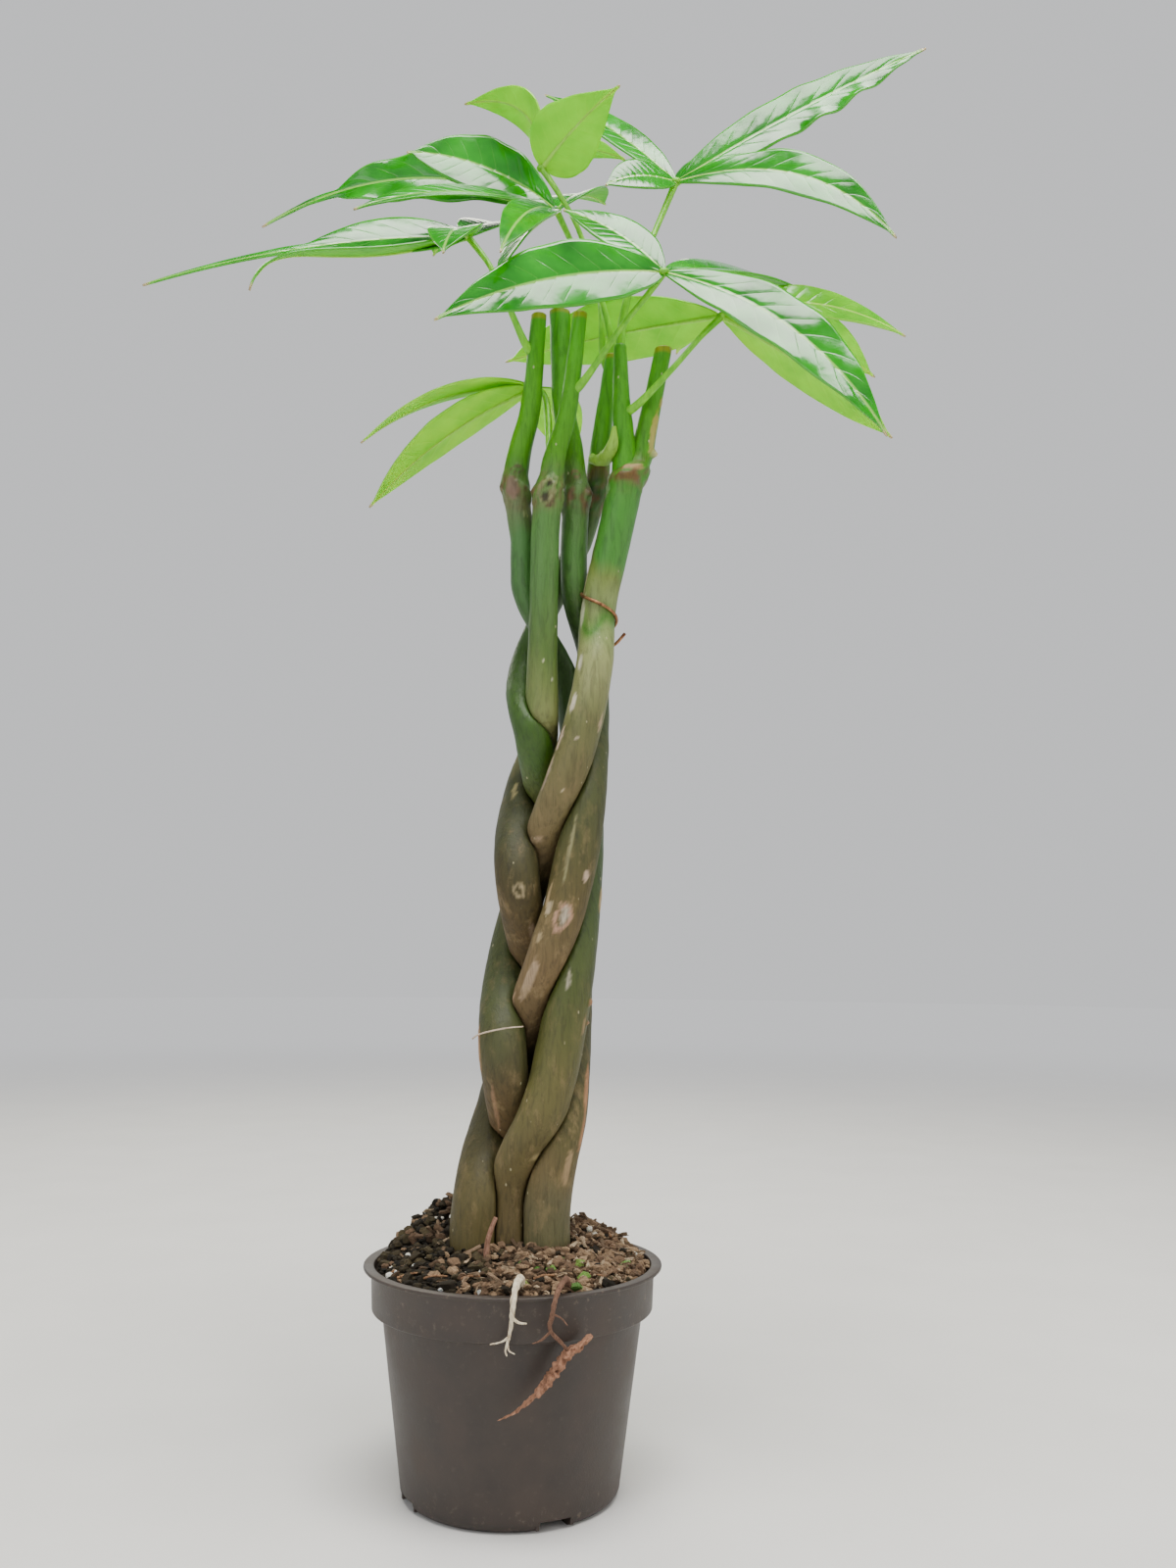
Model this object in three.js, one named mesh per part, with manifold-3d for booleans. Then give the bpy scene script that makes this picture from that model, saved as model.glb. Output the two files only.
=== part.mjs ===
// A money tree in its nursery pot: five stems plaited together, seven hand-shaped compound leaves,
// the heaped potting soil, a copper wire tie and the stray roots that hang over the rim.
// Millimetres, +Z up. The origin is on the pot's axis, on the surface that the pot stands on.
// The front of the plant faces -Y, and its right side +X.
import * as THREE from 'three';
import { mergeVertices } from 'three/addons/utils/BufferGeometryUtils.js';
import Module from 'manifold-3d';

const wasm = await Module();
wasm.setup();

const DEGREE = Math.PI / 180;
const GAP = 0.3; // clearance where two pieces touch

// Pot: a thin-walled 10.5 cm nursery pot
const POT_HEIGHT = 77.5;
const POT_WALL = 1.2;
const POT_SIDES = 36;
const LIP_RADIUS = 52.5;
const LIP_THICKNESS = 1.2;
const BAND_TOP_RADIUS = 49.9;
const BAND_BOTTOM_RADIUS = 49.3;
const BAND_HEIGHT = 15;
const WALL_TOP_RADIUS = 46;
const WALL_BOTTOM_RADIUS = 38.2;
const FOOT_RADIUS = 34.4;
const FOOT_ROUNDING = 3.8;

// Drainage: channels in the base edge, each in a wider shallow recess
const DRAIN_COUNT = 4;
const DRAIN_ANGLE = -64 * DEGREE;
const DRAIN_WIDTH = 11;
const DRAIN_HEIGHT = 3.5;
const DRAIN_INNER_RADIUS = 25;
const RECESS_ANGLE = -69 * DEGREE;
const RECESS_WIDTH = 21;
const RECESS_HEIGHT = 0.9;

// Soil
const SOIL_BOTTOM = 5;
const SOIL_EDGE_HEIGHT = 75.4;
const SOIL_DOME = 9;
const SOIL_RINGS = [6, 12, 18, 24, 30, 36, 42];

// Plait: a stem swings from side to side once per pitch. In front it passes over three of the others on its way
// left and over one on its way right, which takes several waves of depth and a second one of width.
const PLAIT_WIDTH_WAVES = [12.2, -2.1];
const PLAIT_DEPTH_WAVES = [-8.2, -7.8, 5.1, -3.5, 0.4];
const PLAIT_DEPTH_OFFSET = -0.5; // a cosine added to the depth, for room where the stems turn
const PLAIT_TOP = 316;
const PLAIT_STEP = 52; // height between one stem's outer bend and the next, at the top
const PLAIT_STEP_GROWTH = 2; // the steps lengthen downwards
const PLAIT_LEAN = 0.068; // sideways drift of the plait's middle, per millimetre of height
const PLAIT_FOOT_X = 4;
const SOIL_LINE = 88;
const STEM_BOTTOM = 48;
const STEM_FOOT_RADIUS = 9.6;
const STEM_MIDDLE_RADIUS = 8.1;
const STEM_SIDES = 12;
const STEM_RING_STEP = 12;
const PRESSING = 8; // how sharply pressed stems flatten against each other

const LEAF_THICKNESS = 0.9;

// Materials
const material = (color, roughness, metalness = 0) => new THREE.MeshStandardMaterial({ color, roughness, metalness });
const potPlastic = material(0x2b2927, 0.55);
const soilMix = material(0x4a3626, 1);
const oldBark = material(0x6d7044, 0.7);
const greenBark = material(0x4f7a2c, 0.6);
const copper = material(0xb06a3c, 0.4, 0.8);
const leafGreen = material(0x2f9a2a, 0.35);
const youngGreen = material(0x9ad51c, 0.45);
const rootCream = material(0xd8c6a2, 0.9);
const rootBrown = material(0x8a5a44, 0.9);

const plant = new THREE.Group();
plant.name = 'potted_money_tree';

// Helpers

// A closed geometry as a solid that can be joined and cut
function toSolid(geometry) {
  const bare = new THREE.BufferGeometry();
  bare.setAttribute('position', geometry.getAttribute('position').clone());
  if (geometry.index) bare.setIndex(geometry.index.clone());
  const merged = mergeVertices(bare, 1e-4);
  const index = merged.getIndex().array;
  const faces = [];
  for (let i = 0; i < index.length; i += 3) {
    const [a, b, c] = [index[i], index[i + 1], index[i + 2]];
    if (a !== b && b !== c && c !== a) faces.push(a, b, c);
  }
  return new wasm.Manifold(new wasm.Mesh({
    numProp: 3,
    vertProperties: new Float32Array(merged.getAttribute('position').array),
    triVerts: new Uint32Array(faces),
  }));
}

function addPiece(name, solid, finish) {
  const shape = solid.getMesh();
  const geometry = new THREE.BufferGeometry();
  geometry.setAttribute('position', new THREE.BufferAttribute(new Float32Array(shape.vertProperties), 3));
  geometry.setIndex(new THREE.BufferAttribute(new Uint32Array(shape.triVerts), 1));
  geometry.computeVertexNormals();
  const mesh = new THREE.Mesh(geometry, finish);
  mesh.name = name;
  plant.add(mesh);
}

const vector = ([x, y, z]) => new THREE.Vector3(x, y, z);

function joinAll(solids) {
  return solids.reduce((whole, next) => whole.add(next));
}

// Value at u (0 to 1) along a list of evenly spaced values
function along(values, u) {
  const place = Math.min(u, 0.99999) * (values.length - 1);
  const low = Math.floor(place);
  return THREE.MathUtils.lerp(values[low], values[low + 1], place - low);
}

// A closed body through rings of points, each ring anticlockwise seen from the last ring's end
function loft(rings) {
  const count = rings[0].length;
  const points = rings.flat();
  const middle = (ring) => ring.reduce((sum, p) => sum.add(p), new THREE.Vector3()).divideScalar(ring.length);
  const firstCap = points.length;
  points.push(middle(rings[0]), middle(rings.at(-1)));
  const faces = [];
  for (let i = 0; i < rings.length - 1; i += 1) {
    for (let j = 0; j < count; j += 1) {
      const a = i * count + j;
      const b = i * count + (j + 1) % count;
      faces.push(a, b, b + count, a, b + count, a + count);
    }
  }
  const last = (rings.length - 1) * count;
  for (let j = 0; j < count; j += 1) {
    const next = (j + 1) % count;
    faces.push(firstCap, next, j);
    faces.push(firstCap + 1, last + j, last + next);
  }
  const geometry = new THREE.BufferGeometry().setFromPoints(points);
  geometry.setIndex(faces);
  return toSolid(geometry);
}

// A round rod through the points, with its radius given by evenly spaced values; flatness squeezes its section
function rod({ points, radii, sides = 6, steps = 8, flatness = 1 }, grow = 0) {
  const curve = new THREE.CatmullRomCurve3(points.map(vector), false, 'centripetal');
  const frames = curve.computeFrenetFrames(steps, false);
  const rings = [];
  for (let i = 0; i <= steps; i += 1) {
    const centre = curve.getPointAt(i / steps);
    const radius = along(radii, i / steps) + grow;
    const ring = [];
    for (let j = 0; j < sides; j += 1) {
      const angle = (2 * Math.PI * j) / sides;
      ring.push(centre.clone()
        .addScaledVector(frames.normals[i], radius * Math.cos(angle))
        .addScaledVector(frames.binormals[i], radius * flatness * Math.sin(angle)));
    }
    rings.push(ring);
  }
  return loft(rings);
}

function revolve(profile) {
  const outline = profile.map(([r, z]) => new THREE.Vector2(r, z));
  return toSolid(new THREE.LatheGeometry(outline, POT_SIDES).rotateX(Math.PI / 2));
}

// A block that runs outwards from the pot's axis, between two radii
function radialBlock(angle, innerRadius, outerRadius, width, low, high) {
  const block = new THREE.BoxGeometry(outerRadius - innerRadius, width, high - low);
  block.translate((innerRadius + outerRadius) / 2, 0, (low + high) / 2);
  return toSolid(block.rotateZ(angle));
}

// Pot
const bandBottom = POT_HEIGHT - BAND_HEIGHT;

function footArc(radius, inset) {
  return [0, 30, 60, 90].map((degrees) => {
    const angle = degrees * DEGREE;
    const reach = FOOT_ROUNDING - inset;
    return [radius + reach * Math.sin(angle), inset + reach * (1 - Math.cos(angle))];
  });
}

const outerProfile = [
  ...footArc(FOOT_RADIUS, 0),
  [WALL_TOP_RADIUS, bandBottom - 0.6],
  [BAND_BOTTOM_RADIUS, bandBottom],
  [BAND_TOP_RADIUS, POT_HEIGHT - LIP_THICKNESS],
  [LIP_RADIUS, POT_HEIGHT - LIP_THICKNESS],
  [LIP_RADIUS, POT_HEIGHT],
];
const innerProfile = [
  [BAND_TOP_RADIUS - POT_WALL, POT_HEIGHT],
  [BAND_BOTTOM_RADIUS - POT_WALL, bandBottom + 0.8],
  [WALL_TOP_RADIUS - POT_WALL, bandBottom + 0.2],
  ...footArc(FOOT_RADIUS, POT_WALL).reverse(),
];

function makePot() {
  const full = revolve([[0, 0], ...outerProfile, [0, POT_HEIGHT]]);
  let pot = revolve([[0, 0], ...outerProfile, ...innerProfile, [0, POT_WALL]]);
  for (let i = 0; i < DRAIN_COUNT; i += 1) {
    const turn = (2 * Math.PI * i) / DRAIN_COUNT;
    const angle = DRAIN_ANGLE + turn;
    const roofHeight = DRAIN_HEIGHT + POT_WALL;
    const roof = radialBlock(
      angle, DRAIN_INNER_RADIUS - POT_WALL, WALL_BOTTOM_RADIUS - 0.6,
      DRAIN_WIDTH + 2 * POT_WALL, 0, roofHeight,
    ).intersect(full);
    pot = pot.add(roof);
    const beyond = LIP_RADIUS;
    const slotWidth = DRAIN_WIDTH / 2;
    pot = pot.subtract(radialBlock(angle, DRAIN_INNER_RADIUS, beyond, DRAIN_WIDTH, -1, DRAIN_HEIGHT));
    pot = pot.subtract(radialBlock(angle, DRAIN_INNER_RADIUS + 2, 33, slotWidth, 0, roofHeight + 1));
    pot = pot.subtract(radialBlock(RECESS_ANGLE + turn, FOOT_RADIUS + 0.4, beyond, RECESS_WIDTH, -1, RECESS_HEIGHT));
  }
  return pot;
}

// Stems: where each starts in the plait, where it enters the soil, and how it straightens at the top.
// Above the plait every stem ends in a callus, and green shoots grow on from there.
// Joins are the heights between which it leaves the plait's rule for its own line, where they differ.
const stems = [
  {
    name: 'stem_left', phase: 216, foot: [-1.5, -4], topRadius: 4.7, end: 364, finish: greenBark,
    top: [[0.5, -2.5, 316], [0, -3, 338], [-4, -3, 364]],
    shoots: [
      { points: [[-4, -3, 358], [-1.5, -2.5, 374], [1.8, -2, 388], [4.8, -2, 426.5]], radii: [5, 4.2, 3.4, 2.9] },
    ],
  },
  {
    name: 'stem_front', phase: 72, foot: [8, 11], topRadius: 5.2, end: 361, finish: oldBark,
    joins: [250, 272],
    top: [[8.3, -11, 316], [8.5, -11.5, 338], [9.8, -10.5, 361]],
    shoots: [
      { points: [[9.8, -10.5, 355], [11.5, -9.5, 368], [16, -8, 385], [20.5, -6, 425.5]], radii: [4.8, 3.8, 3, 2.7] },
    ],
  },
  {
    name: 'stem_centre', phase: 288, foot: [-12.5, -6], topRadius: 5, end: 363, finish: oldBark,
    top: [[19.2, -1.5, 316], [19, 0, 338], [19.8, 1.5, 363]],
    shoots: [
      { points: [[19.8, 1.5, 357], [17.5, 3, 376], [14.6, 4.5, 392], [12.4, 8, 432.5]], radii: [4.8, 4.4, 4.1, 4] },
    ],
  },
  {
    name: 'stem_right', phase: 0, foot: [-7, 11], topRadius: 6.6, end: 370, finish: oldBark,
    top: [[28.7, -5, 316], [33.7, -5.5, 338], [40.2, -4, 370]],
    shoots: [
      { points: [[37.5, -4.5, 360], [37.4, -4, 376], [36.4, -3.5, 390], [35.8, -2, 414]], radii: [4.6, 4, 3.2, 2.4] },
      { points: [[42, -3.5, 360], [44.8, -2, 376], [47.5, -1, 390], [52.3, 0, 414.5]], radii: [4.8, 4.2, 3.6, 3.2] },
    ],
  },
  {
    name: 'stem_back', phase: 144, foot: [10.5, -5.5], topRadius: 5.2, end: 366, finish: greenBark,
    joins: [260, 320],
    top: [[9, 11, 316], [20, 12, 340], [28, 11, 366]],
    shoots: [
      { points: [[27, 11, 360], [28.5, 10.5, 376], [30, 10, 392], [32.7, 10, 416]], radii: [4.8, 4.1, 3.1, 2.3] },
      {
        points: [[26, 9.5, 375], [25.8, 3, 371.5], [30, -1.5, 370.5], [33, -9.5, 373], [33.6, -12, 379]],
        radii: [1.8, 1.6, 1.8, 1.6, 0.8],
      },
    ],
  },
];

// The number of plait steps below the plait's top at a height
function plaitSteps(z) {
  const drop = PLAIT_TOP - z;
  const root = Math.sqrt(PLAIT_STEP ** 2 + 4 * PLAIT_STEP_GROWTH * drop);
  return (root - PLAIT_STEP) / (2 * PLAIT_STEP_GROWTH);
}

function plaitPoint(stem, z) {
  const angle = (stem.phase + 72 * plaitSteps(z)) * DEGREE;
  const middle = PLAIT_FOOT_X + PLAIT_LEAN * (z - SOIL_LINE);
  const swing = PLAIT_WIDTH_WAVES.reduce((sum, wave, i) => sum + wave * Math.cos((i + 1) * angle), 0);
  const back = PLAIT_DEPTH_WAVES.reduce((sum, wave, i) => sum + wave * Math.sin((i + 1) * angle), 0);
  return new THREE.Vector2(middle + swing, back + PLAIT_DEPTH_OFFSET * Math.cos(angle));
}

function stemCentre(stem, z) {
  const plaited = plaitPoint(stem, Math.min(z, PLAIT_TOP + 8));
  const rooted = 1 - THREE.MathUtils.smoothstep(z, SOIL_LINE, SOIL_LINE + 45);
  plaited.lerp(new THREE.Vector2(...stem.foot), rooted);
  const straight = THREE.MathUtils.smoothstep(z, ...(stem.joins ?? [PLAIT_TOP - 26, PLAIT_TOP + 8]));
  const [low, middle, high] = stem.top;
  const [from, to] = z < middle[2] ? [low, middle] : [middle, high];
  const u = (z - from[2]) / (to[2] - from[2]);
  const aim = new THREE.Vector2(from[0], from[1]).lerp(new THREE.Vector2(to[0], to[1]), u);
  return plaited.lerp(aim, straight);
}

function stemRadius(stem, z) {
  const lower = THREE.MathUtils.smoothstep(z, SOIL_LINE, 190);
  const upper = THREE.MathUtils.smoothstep(z, 215, 312);
  const base = THREE.MathUtils.lerp(STEM_FOOT_RADIUS, STEM_MIDDLE_RADIUS, lower);
  const callus = 0.9 * Math.exp(-(((z - stem.end + 6) / 4) ** 2));
  const closing = 1 - 0.35 * THREE.MathUtils.smoothstep(z, stem.end - 3, stem.end);
  return (THREE.MathUtils.lerp(base, stem.topRadius, upper) + callus) * closing;
}

// A level section of a stem: round, but flattened where it presses on a neighbour
function stemSection(stem, z, grow) {
  const centre = stemCentre(stem, z);
  const radius = stemRadius(stem, z);
  const walls = stems.filter((other) => other !== stem && z < other.end + 6).map((other) => {
    const offset = stemCentre(other, z).sub(centre);
    const distance = offset.length();
    const share = radius / (radius + stemRadius(other, Math.min(z, other.end - 4)));
    return { direction: offset.angle(), distance: distance * share - GAP / 2 };
  });
  const ring = [];
  for (let i = 0; i < STEM_SIDES; i += 1) {
    const angle = (2 * Math.PI * i) / STEM_SIDES;
    let squeeze = radius ** -PRESSING;
    walls.forEach((wall) => {
      squeeze += Math.max(0, Math.cos(angle - wall.direction) / wall.distance) ** PRESSING;
    });
    const reach = squeeze ** (-1 / PRESSING) + grow;
    ring.push(new THREE.Vector3(centre.x + reach * Math.cos(angle), centre.y + reach * Math.sin(angle), z));
  }
  return ring;
}

function makeStem(stem, grow = 0) {
  const rings = [stemSection(stem, STEM_BOTTOM - grow, grow)];
  for (let z = STEM_BOTTOM + STEM_RING_STEP; z < stem.end - 3; z += STEM_RING_STEP) {
    rings.push(stemSection(stem, z, grow));
  }
  rings.push(stemSection(stem, stem.end - 2, grow), stemSection(stem, stem.end + grow, grow));
  const shoots = stem.shoots.map((shoot) => rod({ sides: 8, ...shoot }, grow));
  return joinAll([loft(rings), ...shoots]);
}

// Wire tie: a turn and a bit round the right stem, going down, with the cut end standing out to the right
const WIRE_RADIUS = 0.6;

function wirePoints() {
  const stem = stems.find(({ name }) => name === 'stem_right');
  const points = [];
  for (let degrees = 120; degrees <= 480; degrees += 30) {
    const z = 321 - 0.055 * (degrees - 120);
    const centre = stemCentre(stem, z);
    const reach = stemRadius(stem, z) + WIRE_RADIUS;
    const angle = degrees * DEGREE;
    points.push([centre.x + reach * Math.cos(angle), centre.y + reach * Math.sin(angle), z]);
  }
  return [...points, [24, -1.5, 299], [30, -3, 297], [34.5, -4.5, 299], [38, -6.5, 302.5]];
}

const wire = { points: wirePoints(), radii: [WIRE_RADIUS, WIRE_RADIUS], steps: 36, sides: 5 };

// Stray roots and the shred of bark that hang over the front of the rim
const paleRoot = [
  {
    points: [
      [5, -42, 76], [4.6, -45.5, 82], [3.4, -51, 80.5], [2.9, -54, 77.5], [2.4, -53.8, 72],
      [1.6, -52, 66], [0.4, -50.8, 61], [0.8, -50.5, 59.5],
    ],
    radii: [1.4, 1.6, 1.5, 1.3, 1.1, 0.8, 0.5],
    steps: 14,
  },
  { points: [[2.4, -53.8, 72], [4.5, -54, 70.6], [7, -53.6, 70.2]], radii: [0.8, 0.4], steps: 3, sides: 5 },
  { points: [[1.4, -51.8, 65.5], [-1, -51.8, 64], [-4.5, -51.5, 63.2]], radii: [0.6, 0.4], steps: 3, sides: 5 },
];
const reddishRoot = [
  {
    points: [
      [20.5, -39, 76], [19.4, -43.5, 81.5], [17.6, -49, 80.5], [16.2, -52.6, 77.8], [15, -52.6, 72],
      [14.4, -51.4, 68], [18.4, -49.5, 63], [20.4, -48.2, 60],
    ],
    radii: [1, 1.1, 1, 0.9, 0.9, 0.8, 0.8],
    steps: 14,
  },
  { points: [[14.4, -51.4, 67], [11.6, -51.8, 64.6], [9, -51.8, 63.6]], radii: [0.7, 0.4], steps: 3, sides: 5 },
  {
    points: [
      [27.5, -46.6, 64.6], [23.5, -47.6, 61.6], [19.2, -48.6, 58.6], [14.8, -48.6, 52.6],
      [9.6, -48.2, 46.6], [4, -47.4, 41.6], [-2, -46.6, 38.4],
    ],
    radii: [1, 1.8, 2.4, 2.2, 1.6, 0.8, 0.5],
    steps: 14,
    flatness: 0.5,
  },
];
const rootStub = { points: [[-8.6, -22.5, 80], [-7.4, -21.8, 90], [-5.2, -20.6, 96.2]], radii: [1.3, 1.2, 1], steps: 4 };

// Leaves: a petiole from its shoot to the hub, and leaflets from the hub, each with its tip, width, arch and roll.
// Arch is how far the middle of the midrib rises above the straight line to the tip.
// Roll turns a blade about its own midrib, from facing straight up, and twist adds to it towards the tip.
// Tail is the share of the length that is drawn out, widest is where the blade is widest,
// and a peak above 1 moves the top of the arch towards the tip.
const leaves = [
  {
    name: 'leaf_upper_right', stem: 'stem_right', finish: leafGreen,
    petiole: [[35.8, -2, 412], [36.6, -2.5, 424], [39.2, -3, 436], [48.2, 10, 463.6], [58, 18, 491.5]],
    radii: [1.9, 1.4, 1.2, 1.2, 1.5],
    leaflets: [
      { tip: [155.5, 5, 540.5], width: 22, arch: 2, roll: 72, ruffle: 1.3, waves: 6 },
      { tip: [138.2, -15, 451.6], width: 20, arch: 14, roll: 72, ruffle: 0.5, waves: 3 },
      { tip: [29.7, 4, 482], width: 18, arch: 3, roll: -62 },
      { tip: [3.7, 60, 554.5], width: 16, arch: 3, roll: -40 },
      { tip: [96.9, 72, 543], width: 16, arch: 2, roll: 5 },
    ],
  },
  {
    name: 'leaf_centre', stem: 'stem_front', finish: leafGreen,
    petiole: [[17.2, -7.5, 393], [21, -9.5, 396], [36, -18, 415], [46, -23, 426], [51, -26, 432]],
    radii: [1.8, 1.3, 1.1, 1.1, 1.4],
    leaflets: [
      { tip: [-30, -45, 404.5], width: 27, arch: 6, roll: -78, ruffle: 0.4, waves: 4, widest: 0.4 },
      { tip: [123.7, -60, 358.7], width: 22, arch: 10, roll: 62, ruffle: 0.6, waves: 4 },
      { tip: [116, 36, 450], width: 24, arch: 6, roll: 30 },
      { tip: [13.9, -12, 463], width: 20, arch: 3, roll: -50 },
    ],
  },
  {
    name: 'leaf_lower_right', stem: 'stem_right', finish: youngGreen,
    petiole: [[37, -3.8, 387], [41, -6.5, 388.6], [54.5, -9, 402], [66, -5, 417], [74.5, 0, 427.5]],
    radii: [1.8, 1.3, 1.1, 1.1, 1.4],
    leaflets: [
      { tip: [-11.6, 60, 434], width: 29, arch: 2, roll: 32 },
      { tip: [136, -12, 375.6], width: 28, arch: 3, roll: -25 },
      { tip: [142, 45, 422.5], width: 26, arch: 6, roll: -20 },
      { tip: [149, 20, 429], width: 19, arch: 9, roll: 62 },
      { tip: [62, 78, 446], width: 24, arch: 7, roll: 0 },
    ],
  },
  {
    name: 'leaf_upper_left', stem: 'stem_back', finish: leafGreen,
    petiole: [[32, 10, 408], [29.4, 12.5, 417], [28.6, 13.5, 436], [26, 26, 454], [18, 28, 468], [10.5, 16, 478]],
    radii: [1.8, 1.3, 1.1, 1.1, 1.1, 1.4],
    leaflets: [
      { tip: [-48.3, 8, 497.2], width: 27, arch: 6, roll: -80, widest: 0.5 },
      { tip: [-62.8, -24, 456], width: 15, arch: 7, roll: -40 },
      { tip: [-110.4, 34, 479.5], width: 23, arch: 17, roll: -80, ruffle: 1.1, waves: 5, tail: 0.25, widest: 0.6 },
      { tip: [30.4, 66, 508], width: 22, arch: 5, roll: 0 },
      { tip: [-7, -50, 427], width: 16, arch: 6, roll: -25 },
      { tip: [-9, -38, 424], width: 16, arch: 3, roll: 25 },
    ],
  },
  {
    name: 'leaf_far_left', stem: 'stem_left', finish: leafGreen,
    petiole: [[3.6, -2, 409.5], [0.6, -3.4, 413], [-6, -3.4, 427.5], [-14.3, -2, 446], [-23, 0, 458.5]],
    radii: [1.8, 1.3, 1.1, 1.1, 1.4],
    leaflets: [
      { tip: [-142.8, -12, 432], width: 26, arch: 5, roll: -56, twist: 8, tail: 0.48, widest: 0.42 },
      { tip: [-96.3, -38, 418], width: 22, arch: 8.5, peak: 3.5, roll: -15, tail: 0.08 },
      { tip: [-43, 58, 480], width: 24, arch: 6, roll: 0 },
      { tip: [-10, 52, 488], width: 20, arch: 4, roll: 10 },
      { tip: [-27.7, -42, 430.5], width: 20, arch: 5, roll: 0 },
    ],
  },
  {
    name: 'leaf_young', stem: 'stem_back', finish: youngGreen,
    petiole: [[32.7, 10, 414], [32.4, 9, 422], [27.2, 6, 441], [18.6, 0.5, 464], [11.4, -0.5, 476.5], [5, 1, 487]],
    radii: [1.8, 1.2, 1, 1, 1, 1.3],
    leaflets: [
      { tip: [34.7, -20, 508], width: 27, arch: 2, roll: -35, widest: 0.3 },
      { tip: [-26.4, 12, 520], width: 18, arch: 12, roll: 35 },
      { tip: [37.7, 16, 499.4], width: 11, arch: 6, roll: -20 },
    ],
  },
  {
    name: 'leaf_lower_left', stem: 'stem_front', finish: youngGreen,
    petiole: [[10.6, -8.5, 368], [9.4, -5, 376], [8.6, 1, 388], [7, 6.5, 398], [2.7, 12, 403.5]],
    radii: [1.9, 1.4, 1.3, 1.2, 1.4],
    leaflets: [
      { tip: [-61, -5, 374.5], width: 22, arch: 7, roll: -3 },
      { tip: [-59.6, 10, 354.4], width: 26, arch: 5, roll: 12 },
      { tip: [16, 76, 396], width: 24, arch: 6, roll: 0 },
    ],
  },
];

const BLADE_ROWS = 7;
const BLADE_COLUMNS = [-1, 0, 1];
const MIN_HALF_WIDTH = 0.8;
const TAIL_HALF_WIDTH = 0.5; // at the very tip
const TAIL_SPREAD = 5.5; // how fast a drawn-out tail widens from the tip
const TWIST_RANGE = [0.3, 0.75];

// How wide a leaflet is at u along its midrib, as a share of its full width
function bladeShare(u, widest) {
  const power = 1.75;
  const rising = (u / widest) ** (power * widest);
  const falling = ((1 - u) / (1 - widest)) ** (power * (1 - widest));
  return rising * falling;
}

// Half the width of a leaflet at u, from its broad part or from its drawn-out tail
function halfWidth(u, width, tail, widest) {
  const broad = (width / 2) * bladeShare(Math.min(u / (1 - tail), 1), widest);
  const narrow = TAIL_HALF_WIDTH + TAIL_SPREAD * Math.min(1 - u, tail);
  return Math.max(MIN_HALF_WIDTH, broad, u < 0.5 ? 0 : narrow);
}

function leaflet(hub, shape) {
  const { tip, width, arch, roll, ruffle = 0, waves = 0, fold = 8 } = shape;
  const { twist = 0, tail = 0.03, widest = 0.457, peak = 1 } = shape;
  const start = vector(hub);
  const run = vector(tip).sub(start);
  const axis = run.clone().normalize();
  const up = new THREE.Vector3(0, 0, 1).addScaledVector(axis, -axis.z).normalize();
  const side = new THREE.Vector3().crossVectors(axis, up);
  const faces = { top: [], bottom: [] };
  for (let i = 0; i <= BLADE_ROWS; i += 1) {
    const u = i / BLADE_ROWS;
    const angle = (roll + twist * THREE.MathUtils.smoothstep(u, ...TWIST_RANGE)) * DEGREE;
    const normal = up.clone().multiplyScalar(Math.cos(angle)).addScaledVector(side, Math.sin(angle));
    const across = new THREE.Vector3().crossVectors(normal, axis);
    const half = halfWidth(u, width, tail, widest);
    const droop = 4 * arch * u ** peak * (1 - u ** peak);
    BLADE_COLUMNS.forEach((s) => {
      const reach = Math.abs(s) * half;
      const wave = ruffle * Math.abs(s) * Math.sin(2 * Math.PI * waves * u) * Math.sin(Math.PI * u);
      const lift = reach * Math.sin(fold * DEGREE) + wave;
      const point = start.clone().addScaledVector(run, u).addScaledVector(up, droop)
        .addScaledVector(across, Math.sign(s) * reach * Math.cos(fold * DEGREE))
        .addScaledVector(normal, lift);
      faces.top.push(point.clone().addScaledVector(normal, LEAF_THICKNESS / 2));
      faces.bottom.push(point.addScaledVector(normal, -LEAF_THICKNESS / 2));
    });
  }
  return bladeSolid(faces);
}

function bladeSolid({ top, bottom }) {
  const columns = BLADE_COLUMNS.length;
  const points = [...top, ...bottom];
  const under = top.length;
  const index = [];
  const at = (row, column) => row * columns + column;
  for (let row = 0; row < BLADE_ROWS; row += 1) {
    for (let column = 0; column < columns - 1; column += 1) {
      const [a, b] = [at(row, column), at(row + 1, column)];
      const [c, d] = [at(row + 1, column + 1), at(row, column + 1)];
      index.push(a, b, c, a, c, d);
      index.push(under + a, under + c, under + b, under + a, under + d, under + c);
    }
  }
  const rim = [];
  for (let row = 0; row < BLADE_ROWS; row += 1) rim.push(at(row, 0));
  for (let column = 0; column < columns - 1; column += 1) rim.push(at(BLADE_ROWS, column));
  for (let row = BLADE_ROWS; row > 0; row -= 1) rim.push(at(row, columns - 1));
  for (let column = columns - 1; column > 0; column -= 1) rim.push(at(0, column));
  rim.forEach((a, i) => {
    const b = rim[(i + 1) % rim.length];
    index.push(a, under + a, under + b, a, under + b, b);
  });
  const geometry = new THREE.BufferGeometry().setFromPoints(points);
  geometry.setIndex(index);
  return toSolid(geometry);
}

function makeLeaf({ petiole, radii, leaflets }) {
  const hub = petiole.at(-1);
  const knob = toSolid(new THREE.SphereGeometry(radii.at(-1) + 0.7, 6, 4).translate(...hub));
  return joinAll([rod({ points: petiole, radii }), knob, ...leaflets.map((blade) => leaflet(hub, blade))]);
}

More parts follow.
